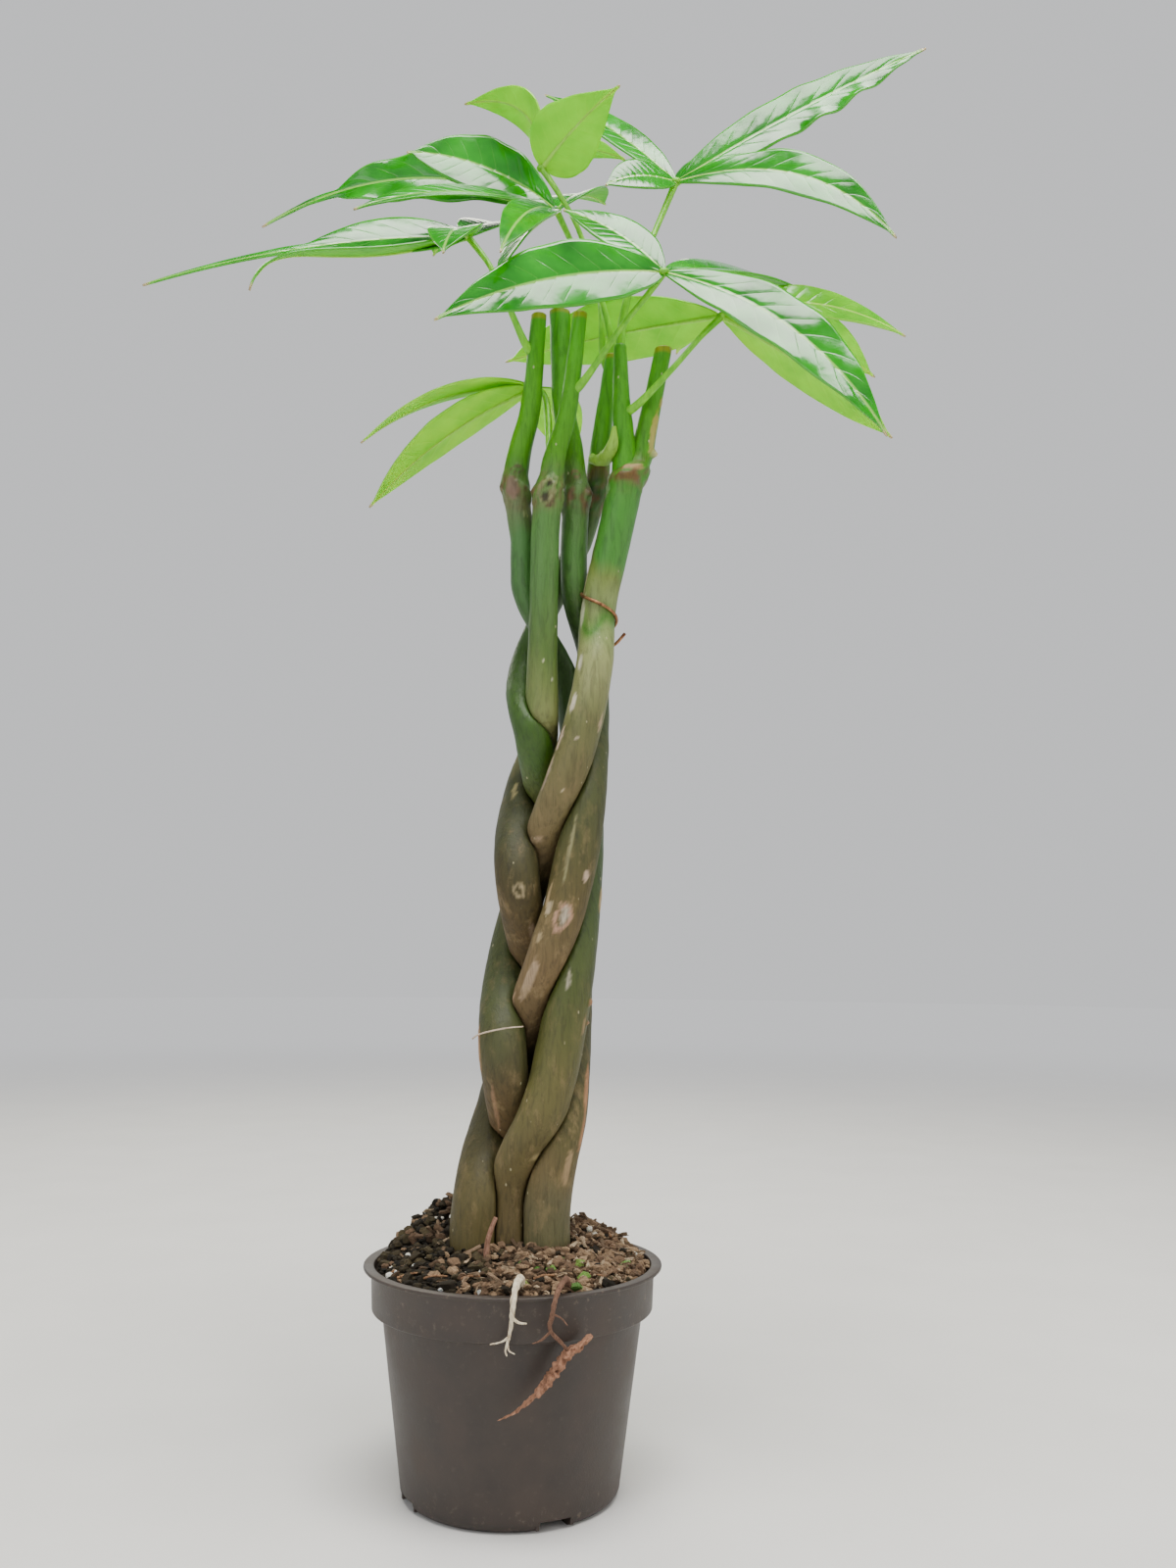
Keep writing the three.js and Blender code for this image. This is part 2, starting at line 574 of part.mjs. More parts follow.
// Soil: a heaped disc, highest behind the plait on the left, with a hole for everything that stands in it
function soilHeight(x, y) {
  const radius = Math.hypot(x, y);
  const heap = (cx, cy, height, spread) => height * Math.exp(-((x - cx) ** 2 + (y - cy) ** 2) / (2 * spread ** 2));
  const fade = 1 - (radius / 48) ** 2;
  const lumps = 0.9 * Math.sin(0.75 * x + 1.3) * Math.sin(0.7 * y) + 0.7 * Math.sin(1.1 * x - 0.9 * y);
  return SOIL_EDGE_HEIGHT + SOIL_DOME * fade + heap(-24, 20, 14, 13) + heap(22, 20, 6, 12) + lumps * Math.min(1, 3 * fade);
}

function makeSoil() {
  const circle = (radius, height) => Array.from({ length: POT_SIDES }, (_, i) => {
    const angle = (2 * Math.PI * i) / POT_SIDES;
    const [x, y] = [radius * Math.cos(angle), radius * Math.sin(angle)];
    return new THREE.Vector3(x, y, height ?? soilHeight(x, y));
  });
  const rings = [
    circle(FOOT_RADIUS + 1.9, SOIL_BOTTOM),
    circle(WALL_TOP_RADIUS - POT_WALL - 0.5, bandBottom + 0.9),
    circle(BAND_BOTTOM_RADIUS - POT_WALL - 0.5, bandBottom + 1.5),
    circle(BAND_TOP_RADIUS - POT_WALL - 0.5, SOIL_EDGE_HEIGHT - 0.8),
    ...[...SOIL_RINGS].reverse().map((radius) => circle(radius)),
  ];
  return loft(rings);
}

// Assembly: where two stems cross they press into each other, and the one that lies outside keeps its shape
const CROSSING_ORDER = ['stem_left', 'stem_back', 'stem_front', 'stem_right', 'stem_centre'];
const stemSolids = new Map(stems.map((stem) => [stem.name, makeStem(stem)]));
CROSSING_ORDER.forEach((name, i) => {
  CROSSING_ORDER.slice(0, i).forEach((outer) => {
    const clearance = makeStem(stems.find((stem) => stem.name === outer), GAP / 2);
    stemSolids.set(name, stemSolids.get(name).subtract(clearance));
  });
});
const stemClearances = new Map(stems.map((stem) => [stem.name, makeStem(stem, GAP)]));
const wireClearance = rod(wire, 0.2);
const strayRoots = [
  { name: 'pale_root', rods: paleRoot, finish: rootCream },
  { name: 'reddish_root', rods: reddishRoot, finish: rootBrown },
  { name: 'root_stub', rods: [rootStub], finish: rootBrown },
];

addPiece('nursery_pot', makePot(), potPlastic);

let soil = makeSoil();
stemClearances.forEach((clearance) => {
  soil = soil.subtract(clearance);
});
strayRoots.forEach(({ rods }) => {
  soil = soil.subtract(joinAll(rods.map((one) => rod(one, GAP))));
});
addPiece('potting_soil', soil, soilMix);

stems.forEach((stem) => {
  addPiece(stem.name, stemSolids.get(stem.name).subtract(wireClearance), stem.finish);
});
addPiece('wire_tie', rod(wire), copper);

leaves.forEach((leaf) => {
  const solid = makeLeaf(leaf).subtract(stemClearances.get(leaf.stem));
  addPiece(leaf.name, solid, leaf.finish);
});

strayRoots.forEach(({ name, rods, finish }) => {
  addPiece(name, joinAll(rods.map((one) => rod(one))), finish);
});

export default plant;
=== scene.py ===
# A money tree in its nursery pot: five plaited stems, seven compound leaves, heaped soil, wire tie and roots.
# Shapes are worked out in millimetres and stored in metres. +Z is up, and the front of the plant faces -Y.
from math import atan2, cos, hypot, pi, radians, sin

import bpy
import numpy as np
from mathutils import Matrix, Vector, noise


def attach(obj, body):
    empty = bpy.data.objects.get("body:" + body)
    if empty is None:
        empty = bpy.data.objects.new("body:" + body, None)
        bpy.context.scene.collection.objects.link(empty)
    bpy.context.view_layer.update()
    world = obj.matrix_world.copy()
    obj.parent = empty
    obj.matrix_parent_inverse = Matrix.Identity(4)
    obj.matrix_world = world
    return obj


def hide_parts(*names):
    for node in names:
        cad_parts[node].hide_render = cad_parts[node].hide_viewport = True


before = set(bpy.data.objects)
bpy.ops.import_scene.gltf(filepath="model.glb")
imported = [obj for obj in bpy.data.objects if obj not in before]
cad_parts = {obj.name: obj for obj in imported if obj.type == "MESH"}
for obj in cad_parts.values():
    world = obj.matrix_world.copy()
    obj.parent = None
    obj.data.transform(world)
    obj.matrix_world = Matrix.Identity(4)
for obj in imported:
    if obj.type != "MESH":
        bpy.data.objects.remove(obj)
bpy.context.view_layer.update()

MM = 0.001
SEAM = 0.00001
UP = np.array([0.0, 0.0, 1.0])
draws = np.random.default_rng(11)

# Rounded ends of rods, as shares of the radius
SHOULDER_WIDTH = 0.85
SHOULDER_REACH = 0.3
CAP_REACH = 0.35

# Pot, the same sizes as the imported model
POT_HEIGHT = 77.5
POT_WALL = 1.2
LIP_RADIUS = 52.5
LIP_THICKNESS = 1.2
LIP_ROUNDING = 0.45
BAND_TOP_RADIUS = 49.9
BAND_BOTTOM_RADIUS = 49.3
BAND_BOTTOM = POT_HEIGHT - 15
WALL_TOP_RADIUS = 46
WALL_BOTTOM_RADIUS = 38.2
FOOT_RADIUS = 34.4
FOOT_ROUNDING = 3.8
POT_STEPS = 160
SHARP_EDGE = 35
DRAIN_COUNT = 4
DRAIN_ANGLE = -64
DRAIN_WIDTH = 11
DRAIN_HEIGHT = 3.5
DRAIN_INNER_RADIUS = 25
DRAIN_HOLE_END = 33
RECESS_ANGLE = -69
RECESS_WIDTH = 21
RECESS_HEIGHT = 0.9

# Soil
SOIL_EDGE_HEIGHT = 75.4
SOIL_DOME = 9
SOIL_RADIUS = 48.2
DOME_RADIUS = 48
# Each heap: its middle, height and spread
HEAPS = ((-24, 20, 14, 13), (22, 20, 6, 12))
BED_COLUMNS = 150
BED_ROWS = 74
BED_DEPTH = 9
BED_SKIRT = 0.985
STREWN_DROP = 0.3
STREWN_RADIUS = 47.2
STREWN_EDGE = 47.6
SOIL_LINE = 88

# Plait
PLAIT_WIDTH_WAVES = (12.2, -2.1)
PLAIT_DEPTH_WAVES = (-8.2, -7.8, 5.1, -3.5, 0.4)
PLAIT_DEPTH_OFFSET = -0.5
PLAIT_TOP = 316
PLAIT_STEP = 52
PLAIT_STEP_GROWTH = 2
PLAIT_LEAN = 0.068
PLAIT_FOOT_X = 4
STEM_START = 66
STEM_FOOT_RADIUS = 9.6
STEM_MIDDLE_RADIUS = 8.1
STEM_FOOT_TOP = 190
STEM_TAPER = (215, 312)
STEM_GAP = 0.02
STEM_SIDES = 64
STEM_ROW = 1.1
PRESSING = 9
FREE_TOP = 4
STEM_TURN = 360 / 5
FOOT_REACH = 45
JOINS = (PLAIT_TOP - 26, PLAIT_TOP + 8)
CALLUS_SWELLING = 0.9
SHOOT_POINTS = 60
OLD_SKIN_SHADE = (0.66, 0.62, 0.4)
OLD_SKIN_TOP = (290, 335)

# Leaves
BLADE_COLUMNS = 20
BLADE_ROWS = 78
BLADE_THICKNESS = 0.7
QUILT = 0.05
VEIN_PAIRS = 11
VEIN_SLANT = 0.13

# Studio
AIR_TONE = "e9eaec"
AIR_STRENGTH = 0.9
ZENITH_STRENGTH = 0.12
BACKDROP_RADIUS = 3.9
BACKDROP_HEIGHT = 9.0
FLOOR_SIZE = 8
FLOOR_FADE = (0.7, 2.2)


# Helpers

def smooth_step(value, low, high):
    share = np.clip((np.asarray(value, float) - low) / (high - low), 0, 1)
    return share * share * (3 - 2 * share)


def blend(a, b, share):
    return a + (np.asarray(b, float) - a) * share


def unit(vector):
    return vector / np.linalg.norm(vector)


def colour(code):
    """A linear colour from a hex code."""
    levels = [int(code[i:i + 2], 16) / 255 for i in (0, 2, 4)]
    return (*[((level + 0.055) / 1.055) ** 2.4 if level > 0.04 else level / 12.92 for level in levels], 1.0)


def grain(points, size, seed=0.0):
    """Soft random values between -1 and 1 that change over about the given size."""
    shift = Vector((seed * 7.3, seed * 3.1, seed * 5.7))
    values = [noise.noise(Vector(p) / size + shift) for p in points.reshape(-1, 3)]
    return np.array(values).reshape(points.shape[:-1])


def pick_nothing():
    bpy.ops.object.select_all(action="DESELECT")


def pick(*pieces):
    pick_nothing()
    for piece in pieces:
        piece.select_set(True)
    bpy.context.view_layer.objects.active = pieces[0]


def in_edit_mode(*steps):
    """Runs each step in edit mode on the whole of the active piece."""
    bpy.ops.object.mode_set(mode="EDIT")
    for step in steps:
        bpy.ops.mesh.select_all(action="SELECT")
        step()
    bpy.ops.object.mode_set(mode="OBJECT")


def close_seams():
    bpy.ops.mesh.remove_doubles(threshold=SEAM)
    bpy.ops.mesh.normals_make_consistent(inside=False)


def added(name, data):
    """A new object in the scene, round the given mesh, lamp or camera."""
    thing = bpy.data.objects.new(name, data)
    bpy.context.scene.collection.objects.link(thing)
    return thing


def name_piece(name):
    piece = bpy.context.object
    piece.name = name
    piece.data.name = name
    return piece


def add_values(piece, values):
    """Per-vertex values that the finishes read."""
    for name, data in values.items():
        data = np.asarray(data, float)
        if data.ndim == 2:
            layer = piece.data.attributes.new(name, "FLOAT_COLOR", "POINT")
            layer.data.foreach_set("color", np.c_[data, np.ones(len(data))].ravel())
        else:
            layer = piece.data.attributes.new(name, "FLOAT", "POINT")
            layer.data.foreach_set("value", data)


def shaped_grid(name, points, values=None):
    """A grid primitive whose rows and columns are laid through the given points (rows x columns x 3)."""
    rows, columns = points.shape[:2]
    pick_nothing()
    bpy.ops.mesh.primitive_grid_add(x_subdivisions=columns - 1, y_subdivisions=rows - 1, size=1)
    piece = name_piece(name)
    places = np.empty(rows * columns * 3)
    piece.data.vertices.foreach_get("co", places)
    places = places.reshape(-1, 3)
    column = np.rint((places[:, 0] + 0.5) * (columns - 1)).astype(int)
    row = np.rint((places[:, 1] + 0.5) * (rows - 1)).astype(int)
    piece.data.vertices.foreach_set("co", (points[row, column] * MM).ravel())
    add_values(piece, {key: value[row, column] for key, value in (values or {}).items()})
    return piece


def rolled(name, rings, values=None):
    """A closed skin through rings of points: a grid rolled up, with its seam and end rings joined."""
    around = np.concatenate([rings, rings[:, :1]], axis=1)
    values = {key: np.concatenate([value, value[:, :1]], axis=1) for key, value in (values or {}).items()}
    piece = shaped_grid(name, around, values)
    in_edit_mode(close_seams)
    bpy.ops.object.shade_smooth()
    return piece


def spline(points, count):
    """Evenly spread points on a smooth curve through the given ones."""
    points = np.array(points, float)
    ends = [2 * points[0] - points[1], *points, 2 * points[-1] - points[-2]]
    dense = [points[0]]
    for p0, p1, p2, p3 in zip(ends, ends[1:], ends[2:], ends[3:]):
        d0, d1, d2 = (max(np.linalg.norm(b - a) ** 0.5, 1e-4) for a, b in ((p0, p1), (p1, p2), (p2, p3)))
        start = ((p1 - p0) / d0 - (p2 - p0) / (d0 + d1) + (p2 - p1) / d1) * d1
        end = ((p2 - p1) / d1 - (p3 - p1) / (d1 + d2) + (p3 - p2) / d2) * d1
        for t in np.linspace(0, 1, 17)[1:]:
            dense.append((2 * t ** 3 - 3 * t ** 2 + 1) * p1 + (t ** 3 - 2 * t ** 2 + t) * start
                         + (3 * t ** 2 - 2 * t ** 3) * p2 + (t ** 3 - t ** 2) * end)
    dense = np.array(dense)
    travel = np.r_[0, np.cumsum(np.linalg.norm(np.diff(dense, axis=0), axis=1))]
    even = np.linspace(0, travel[-1], count)
    return np.stack([np.interp(even, travel, dense[:, i]) for i in range(3)], axis=1)


def tube(name, points, radii, rows=24, sides=12, flatness=1.0, rough=0.0, rough_size=3.0):
    """A round rod along a smooth curve, closed at both ends, with evenly spaced radii."""
    line = spline(points, rows)
    radius = np.interp(np.linspace(0, 1, rows), np.linspace(0, 1, len(radii)), radii)
    forward = np.gradient(line, axis=0)
    side = unit(np.cross(forward[0], UP if abs(unit(forward[0])[2]) < 0.9 else np.array([0.0, 1.0, 0.0])))
    angles = np.linspace(0, 2 * pi, sides, endpoint=False)
    rings = []
    for centre, axis, reach in zip(line, forward, radius):
        axis = unit(axis)
        side = unit(side - axis * (side @ axis))
        other = np.cross(axis, side)
        across, along = np.outer(np.cos(angles), side), np.outer(np.sin(angles), other)
        rings.append(centre + reach * (across + flatness * along))
    rings = np.array(rings)
    if rough:
        outward = rings - line[:, None]
        rings = rings + outward * (rough * grain(rings, rough_size))[..., None]
    ends = []
    for i, sign in ((0, -1), (-1, 1)):
        away = sign * unit(forward[i])
        shoulder = line[i] + (rings[i] - line[i]) * SHOULDER_WIDTH + SHOULDER_REACH * radius[i] * away
        cap = np.tile(line[i] + CAP_REACH * radius[i] * away, (sides, 1))
        ends.append((shoulder, cap))
    (low_shoulder, low_cap), (high_shoulder, high_cap) = ends
    return rolled(name, np.array([low_cap, low_shoulder, *rings, high_shoulder, high_cap]))


def joined(name, parts):
    pick(*parts)
    bpy.ops.object.join()
    return name_piece(name)


def finish_piece(piece, node, slot, *finishes):
    """Puts a piece in place of its node, with its finishes."""
    if finishes:
        piece.data.materials.clear()
        for finish in finishes:
            piece.data.materials.append(finish)
    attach(piece, "root")
    if node:
        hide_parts(node)


# Finishes

class Finish:
    """One material, built node by node round its shader."""

    def __init__(self, name, **sockets):
        self.material = bpy.data.materials.new(name)
        self.material.use_nodes = True
        self.tree = self.material.node_tree
        self.shader = self.tree.nodes["Principled BSDF"]
        for socket, value in sockets.items():
            self.shader.inputs[socket.replace("_", " ")].default_value = value
        self.place = self.add("TexCoord").outputs["Object"]

    def add(self, kind, links=None, **settings):
        node = self.tree.nodes.new("ShaderNode" + kind)
        for key, value in settings.items():
            setattr(node, key, value)
        for key, value in (links or {}).items():
            if isinstance(value, bpy.types.NodeSocket):
                self.tree.links.new(value, node.inputs[key])
            else:
                node.inputs[key].default_value = value
        return node

    def value(self, name):
        return self.add("Attribute", attribute_name=name).outputs["Fac"]

    def tone(self, name):
        return self.add("Attribute", attribute_name=name).outputs["Color"]

    def stretched(self, scale):
        return self.add("Mapping", {"Vector": self.place, "Scale": scale}).outputs[0]

    def noise(self, size, detail=3.0, rough=0.5, stretch=(1, 1, 1), twist=0.0):
        """Soft noise whose grains are about the given size in millimetres."""
        place = self.stretched(stretch)
        links = {"Vector": place, "Scale": 1 / (size * MM), "Detail": detail, "Roughness": rough,
                 "Distortion": twist}
        return self.add("TexNoise", links).outputs[0]

    def cells(self, size, stretch):
        """Distance from the middles of scattered cells of about the given size in millimetres."""
        links = {"Vector": self.stretched(stretch), "Scale": 1 / (size * MM)}
        return self.add("TexVoronoi", links).outputs[0]

    def height(self):
        return self.add("SeparateXYZ", {0: self.place}).outputs[2]

    def glow(self, *reach):
        """How far red, green and blue light travel under the skin."""
        self.shader.inputs["Subsurface Radius"].default_value = reach
        self.shader.inputs["Subsurface Scale"].default_value = 1.0

    def math(self, operation, a, b):
        return self.add("Math", {0: a, 1: b}, operation=operation).outputs[0]

    def times(self, a, b):
        return self.math("MULTIPLY", a, b)

    def span(self, factor, low, high, start=0.0, end=1.0):
        """Brings a factor from one range to another, smoothly and clamped."""
        links = {0: factor, 1: low, 2: high, 3: start, 4: end}
        return self.add("MapRange", links, interpolation_type="SMOOTHSTEP").outputs[0]

    def mix(self, factor, a, b, blend_type="MIX"):
        return self.add("Mix", {0: factor, 6: a, 7: b}, data_type="RGBA", blend_type=blend_type).outputs[2]

    def tint(self, base, code, factor):
        """The base with a colour laid over it, as strongly as the factor says."""
        return self.mix(factor, base, colour(code))

    def ramp(self, factor, *stops):
        node = self.add("ValToRGB", {0: factor})
        elements = node.color_ramp.elements
        while len(elements) < len(stops):
            elements.new(0.5)
        for element, (position, code) in zip(elements, stops):
            element.position = position
            element.color = colour(code)
        return node.outputs[0]

    def paint(self, socket, source):
        self.tree.links.new(source, self.shader.inputs[socket])

    def bump(self, *layers):
        """Stacks bumps: each layer is a height and its depth in millimetres."""
        normal = None
        for height, depth in layers:
            links = {"Height": height, "Distance": depth * MM, "Strength": 1.0}
            if normal is not None:
                links["Normal"] = normal
            normal = self.add("Bump", links).outputs[0]
        self.tree.links.new(normal, self.shader.inputs["Normal"])


def pot_plastic():
    """Thin recycled plastic: dark grey-brown, satin, finely grained, dusty under the rim."""
    finish = Finish("pot_plastic", Specular_IOR_Level=0.45)
    clouds = finish.noise(14, 4)
    fine = finish.noise(0.5, 2)
    base = finish.ramp(clouds, (0.3, "2b2420"), (0.7, "3c322c"))
    dust_spots = finish.span(finish.noise(2.5, 5, 0.7), 0.55, 0.75)
    height = finish.height()
    under_rim = finish.span(height, 0.05, 0.078, 0.05, 0.35)
    low_down = finish.span(height, 0.016, 0.0, 0.0, 0.3)
    dust = finish.times(dust_spots, finish.math("ADD", under_rim, low_down))
    finish.paint("Base Color", finish.tint(base, "8a7a68", dust))
    finish.paint("Roughness", finish.span(clouds, 0.2, 0.8, 0.42, 0.6))
    finish.bump((finish.noise(1.4, 3), 0.05), (fine, 0.05))
    return finish.material


def peat():
    """The dark soil between the grains."""
    finish = Finish("peat", Roughness=0.95, Specular_IOR_Level=0.2)
    lumps = finish.noise(2.2, 5, 0.65)
    finish.paint("Base Color", finish.ramp(lumps, (0.3, "100c07"), (0.52, "241c12"), (0.75, "3c3022")))
    finish.bump((finish.noise(3.5, 4, 0.7), 1.6), (finish.noise(0.8, 4, 0.7), 0.5))
    return finish.material


def crumb(name, *codes, roughness=0.9, glow=0.0):
    """Loose grains: each has a shade of its own, and a rough face."""
    finish = Finish(name, Roughness=roughness, Specular_IOR_Level=0.3, Subsurface_Weight=glow)
    shade = finish.value("shade")
    stops = [(i / (len(codes) - 1), code) for i, code in enumerate(codes)]
    own = finish.ramp(shade, *stops)
    spots = finish.noise(0.9, 4, 0.7)
    finish.paint("Base Color", finish.tint(own, codes[0], finish.span(spots, 0.3, 0.75, 0.0, 0.6)))
    finish.bump((finish.noise(0.6, 3, 0.7), 0.35))
    return finish.material


def bark():
    """Stem skin: the painted tone with streaks along the stem, pale pores, fine fissures and scars."""
    finish = Finish("stem_bark", Specular_IOR_Level=0.4)
    height = finish.height()
    vivid = finish.span(height, 0.35, 0.39, 1.0, 1.3)
    tone = finish.add("HueSaturation", {"Saturation": vivid, "Color": finish.tone("tone")}).outputs[0]
    streaks = finish.noise(1.6, 5, 0.65, stretch=(1, 1, 0.14), twist=0.6)
    mottle = finish.noise(5, 5, 0.7, stretch=(1, 1, 0.5))
    dark = finish.mix(finish.span(streaks, 0.42, 0.72, 0.0, 0.42), tone, colour("3a3a20"), "MULTIPLY")
    worn = finish.span(mottle, 0.5, 0.7, 0.0, 0.5)
    brown = finish.value("age")
    pale = finish.tint(dark, "8f7a55", finish.times(worn, brown))
    pores = finish.span(finish.cells(3.4, stretch=(1, 1, 0.55)), 0.13, 0.06)
    few = finish.span(finish.noise(7, 2), 0.52, 0.6)
    dots = finish.times(finish.times(pores, few), 0.7)
    finish.paint("Base Color", finish.tint(pale, "b9b08a", dots))
    finish.paint("Roughness", finish.span(finish.math("ADD", mottle, brown), 0.4, 1.6, 0.42, 0.72))
    finish.bump((streaks, 0.28), (mottle, 0.3), (finish.noise(0.7, 3, 0.6, stretch=(1, 1, 0.4)), 0.1),
                (pores, 0.12))
    return finish.material


def leaf_top(name, deep, bright, vein, margin):
    """The glossy upper side: highlights broken by fine furrows over the side veins, and a pale midrib."""
    finish = Finish(name, Specular_IOR_Level=0.55, Subsurface_Weight=0.12)
    finish.glow(0.0003, 0.0006, 0.0001)
    midrib, furrow, quilt = vein_lines(finish)
    patches = finish.noise(14, 3)
    base = finish.ramp(patches, (0.3, deep), (0.7, bright))
    edge = finish.span(finish.value("margin"), 0.9, 1.0, 0.0, 0.6)
    base = finish.tint(base, margin, edge)
    base = finish.tint(base, vein, finish.times(furrow, 0.08))
    base = finish.tint(base, vein, finish.times(midrib, 0.75))
    finish.paint("Base Color", dry_tip(finish, base))
    finish.paint("Roughness", finish.span(finish.noise(6, 4, 0.6), 0.25, 0.75, 0.1, 0.22))
    finish.bump((quilt, 0.05), (furrow, -0.045), (finish.noise(7, 2), 0.16))
    return finish.material


def leaf_under(name, deep, bright, vein):
    """The underside: satin, yellower, lit through by the light above, with faint veins."""
    finish = Finish(name, Roughness=0.5, Specular_IOR_Level=0.2, Subsurface_Weight=0.6)
    finish.glow(0.0006, 0.0010, 0.0002)
    midrib, furrow, quilt = vein_lines(finish)
    base = finish.ramp(finish.noise(12, 3), (0.3, deep), (0.7, bright))
    base = finish.tint(base, vein, finish.times(furrow, 0.2))
    base = finish.tint(base, vein, finish.times(midrib, 0.8))
    finish.paint("Base Color", dry_tip(finish, base))
    finish.bump((quilt, -0.06), (furrow, 0.05), (finish.noise(7, 2), 0.1))
    return finish.material


def dry_tip(finish, base):
    """The last millimetres of each leaflet are dry and pale brown."""
    return finish.tint(base, "b9a878", finish.span(finish.value("along"), 0.972, 0.992))


def vein_lines(finish):
    """Where the midrib shows, the thin furrows over the side veins, and the swelling between them."""
    distance = finish.math("PINGPONG", finish.value("vein"), 0.5)
    fading = finish.span(finish.value("margin"), 0.4, 0.95, 1.0, 0.1)
    midrib = finish.span(finish.value("reach"), 0.3, 0.75, 1.0, 0.0)
    furrow = finish.times(finish.span(distance, 0.0, 0.07, 1.0, 0.0), fading)
    quilt = finish.times(finish.span(distance, 0.0, 0.32), fading)
    return midrib, furrow, quilt


def stalk(name, dark, light):
    """The soft green skin of leaf stalks and midribs."""
    finish = Finish(name, Roughness=0.4, Specular_IOR_Level=0.45, Subsurface_Weight=0.3)
    finish.glow(0.001, 0.002, 0.0004)
    streaks = finish.noise(1.6, 3, 0.6, stretch=(1, 1, 0.2))
    finish.paint("Base Color", finish.ramp(streaks, (0.3, dark), (0.7, light)))
    finish.bump((streaks, 0.05))
    return finish.material


def fibre(name, dark, light, size=1.0):
    """Dry root or bark: streaked, rough."""
    finish = Finish(name, Roughness=0.85, Specular_IOR_Level=0.25)
    streaks = finish.noise(size, 5, 0.7, stretch=(1, 1, 0.35), twist=1.0)
    finish.paint("Base Color", finish.ramp(streaks, (0.3, dark), (0.65, light)))
    finish.bump((streaks, 0.4))
    return finish.material


def wire_copper():
    finish = Finish("copper_wire", Metallic=0.9)
    tarnish = finish.noise(1.6, 4, 0.7)
    finish.paint("Base Color", finish.ramp(tarnish, (0.35, "5e3a28"), (0.65, "b0805a")))
    finish.paint("Roughness", finish.span(tarnish, 0.3, 0.7, 0.28, 0.5))
    finish.bump((tarnish, 0.04))
    return finish.material


def floor_paint():
    """Pale floor that runs out into the air's own tone far behind the plant."""
    finish = Finish("studio_floor", Roughness=0.8, Specular_IOR_Level=0.1, Emission_Color=colour(AIR_TONE))
    distance = finish.add("VectorMath", {0: finish.place}, operation="LENGTH").outputs["Value"]
    away = finish.span(distance, *FLOOR_FADE)
    pale = finish.ramp(finish.noise(60, 3), (0.3, "e3e2df"), (0.7, "e7e6e3"))
    finish.paint("Base Color", finish.tint(pale, "000000", away))
    finish.paint("Emission Strength", finish.times(away, AIR_STRENGTH))
    return finish.material


def backdrop_paint():
    """The pale air all round, which fades towards its top."""
    finish = Finish("studio_backdrop", Roughness=0.9, Specular_IOR_Level=0.1, Emission_Color=colour(AIR_TONE))
    height = finish.height()
    finish.paint("Base Color", finish.ramp(finish.noise(60, 3), (0.3, "0a0a0a"), (0.7, "0c0c0c")))
    fading = finish.span(height, 0.4 * BACKDROP_HEIGHT, BACKDROP_HEIGHT / 2, AIR_STRENGTH, ZENITH_STRENGTH)
    finish.paint("Emission Strength", fading)
    return finish.material


# Pot

def arc(radius, height, reach, first, last, steps):
    angles = np.radians(np.linspace(first, last, steps))
    return [(radius + reach * cos(a), height + reach * sin(a)) for a in angles]


def pot_outline():
    lip_low = POT_HEIGHT - LIP_THICKNESS
    turn = LIP_ROUNDING
    outer = [
        (0, 0),
        *arc(FOOT_RADIUS, FOOT_ROUNDING, FOOT_ROUNDING, -90, 0, 8),
        (WALL_TOP_RADIUS - 0.3, BAND_BOTTOM - 1.2),
        (WALL_TOP_RADIUS + 0.3, BAND_BOTTOM - 0.7),
        *arc(BAND_BOTTOM_RADIUS - 0.6, BAND_BOTTOM + 0.4, 0.6, -60, 0, 4),
        (BAND_TOP_RADIUS - 0.1, lip_low - 0.7),
        (BAND_TOP_RADIUS + 0.4, lip_low),
        *arc(LIP_RADIUS - turn, lip_low + turn, turn, -90, 0, 4),
        *arc(LIP_RADIUS - turn, POT_HEIGHT - turn, turn, 0, 90, 4),
    ]
    inner = [
        *arc(BAND_TOP_RADIUS - POT_WALL + turn, POT_HEIGHT - turn, turn, 90, 180, 4),
        (BAND_BOTTOM_RADIUS - POT_WALL, BAND_BOTTOM + 0.8),
        (WALL_TOP_RADIUS - POT_WALL, BAND_BOTTOM + 0.2),
        *arc(FOOT_RADIUS, FOOT_ROUNDING, FOOT_ROUNDING - POT_WALL, 0, -90, 6),
        (0, POT_WALL),
    ]
    return outer + inner


def block(angle, inner_radius, outer_radius, width, low, high):
    """A block that runs outwards from the pot's axis."""
    pick_nothing()
    bpy.ops.mesh.primitive_cube_add(size=1)
    piece = bpy.context.object
    size = (outer_radius - inner_radius, width, high - low)
    middle = ((inner_radius + outer_radius) / 2, 0, (low + high) / 2)
    shape = Matrix.Rotation(radians(angle), 4, "Z") @ Matrix.Translation(Vector(middle) * MM)
    piece.data.transform(shape @ Matrix.Diagonal((*[side * MM for side in size], 1)))
    return piece


def cut(piece, tool, operation="DIFFERENCE"):
    modifier = piece.modifiers.new("cut", "BOOLEAN")
    modifier.operation = operation
    modifier.solver = "EXACT"
    modifier.object = tool
    pick(piece)
    bpy.ops.object.modifier_apply(modifier="cut")
    bpy.data.objects.remove(tool)


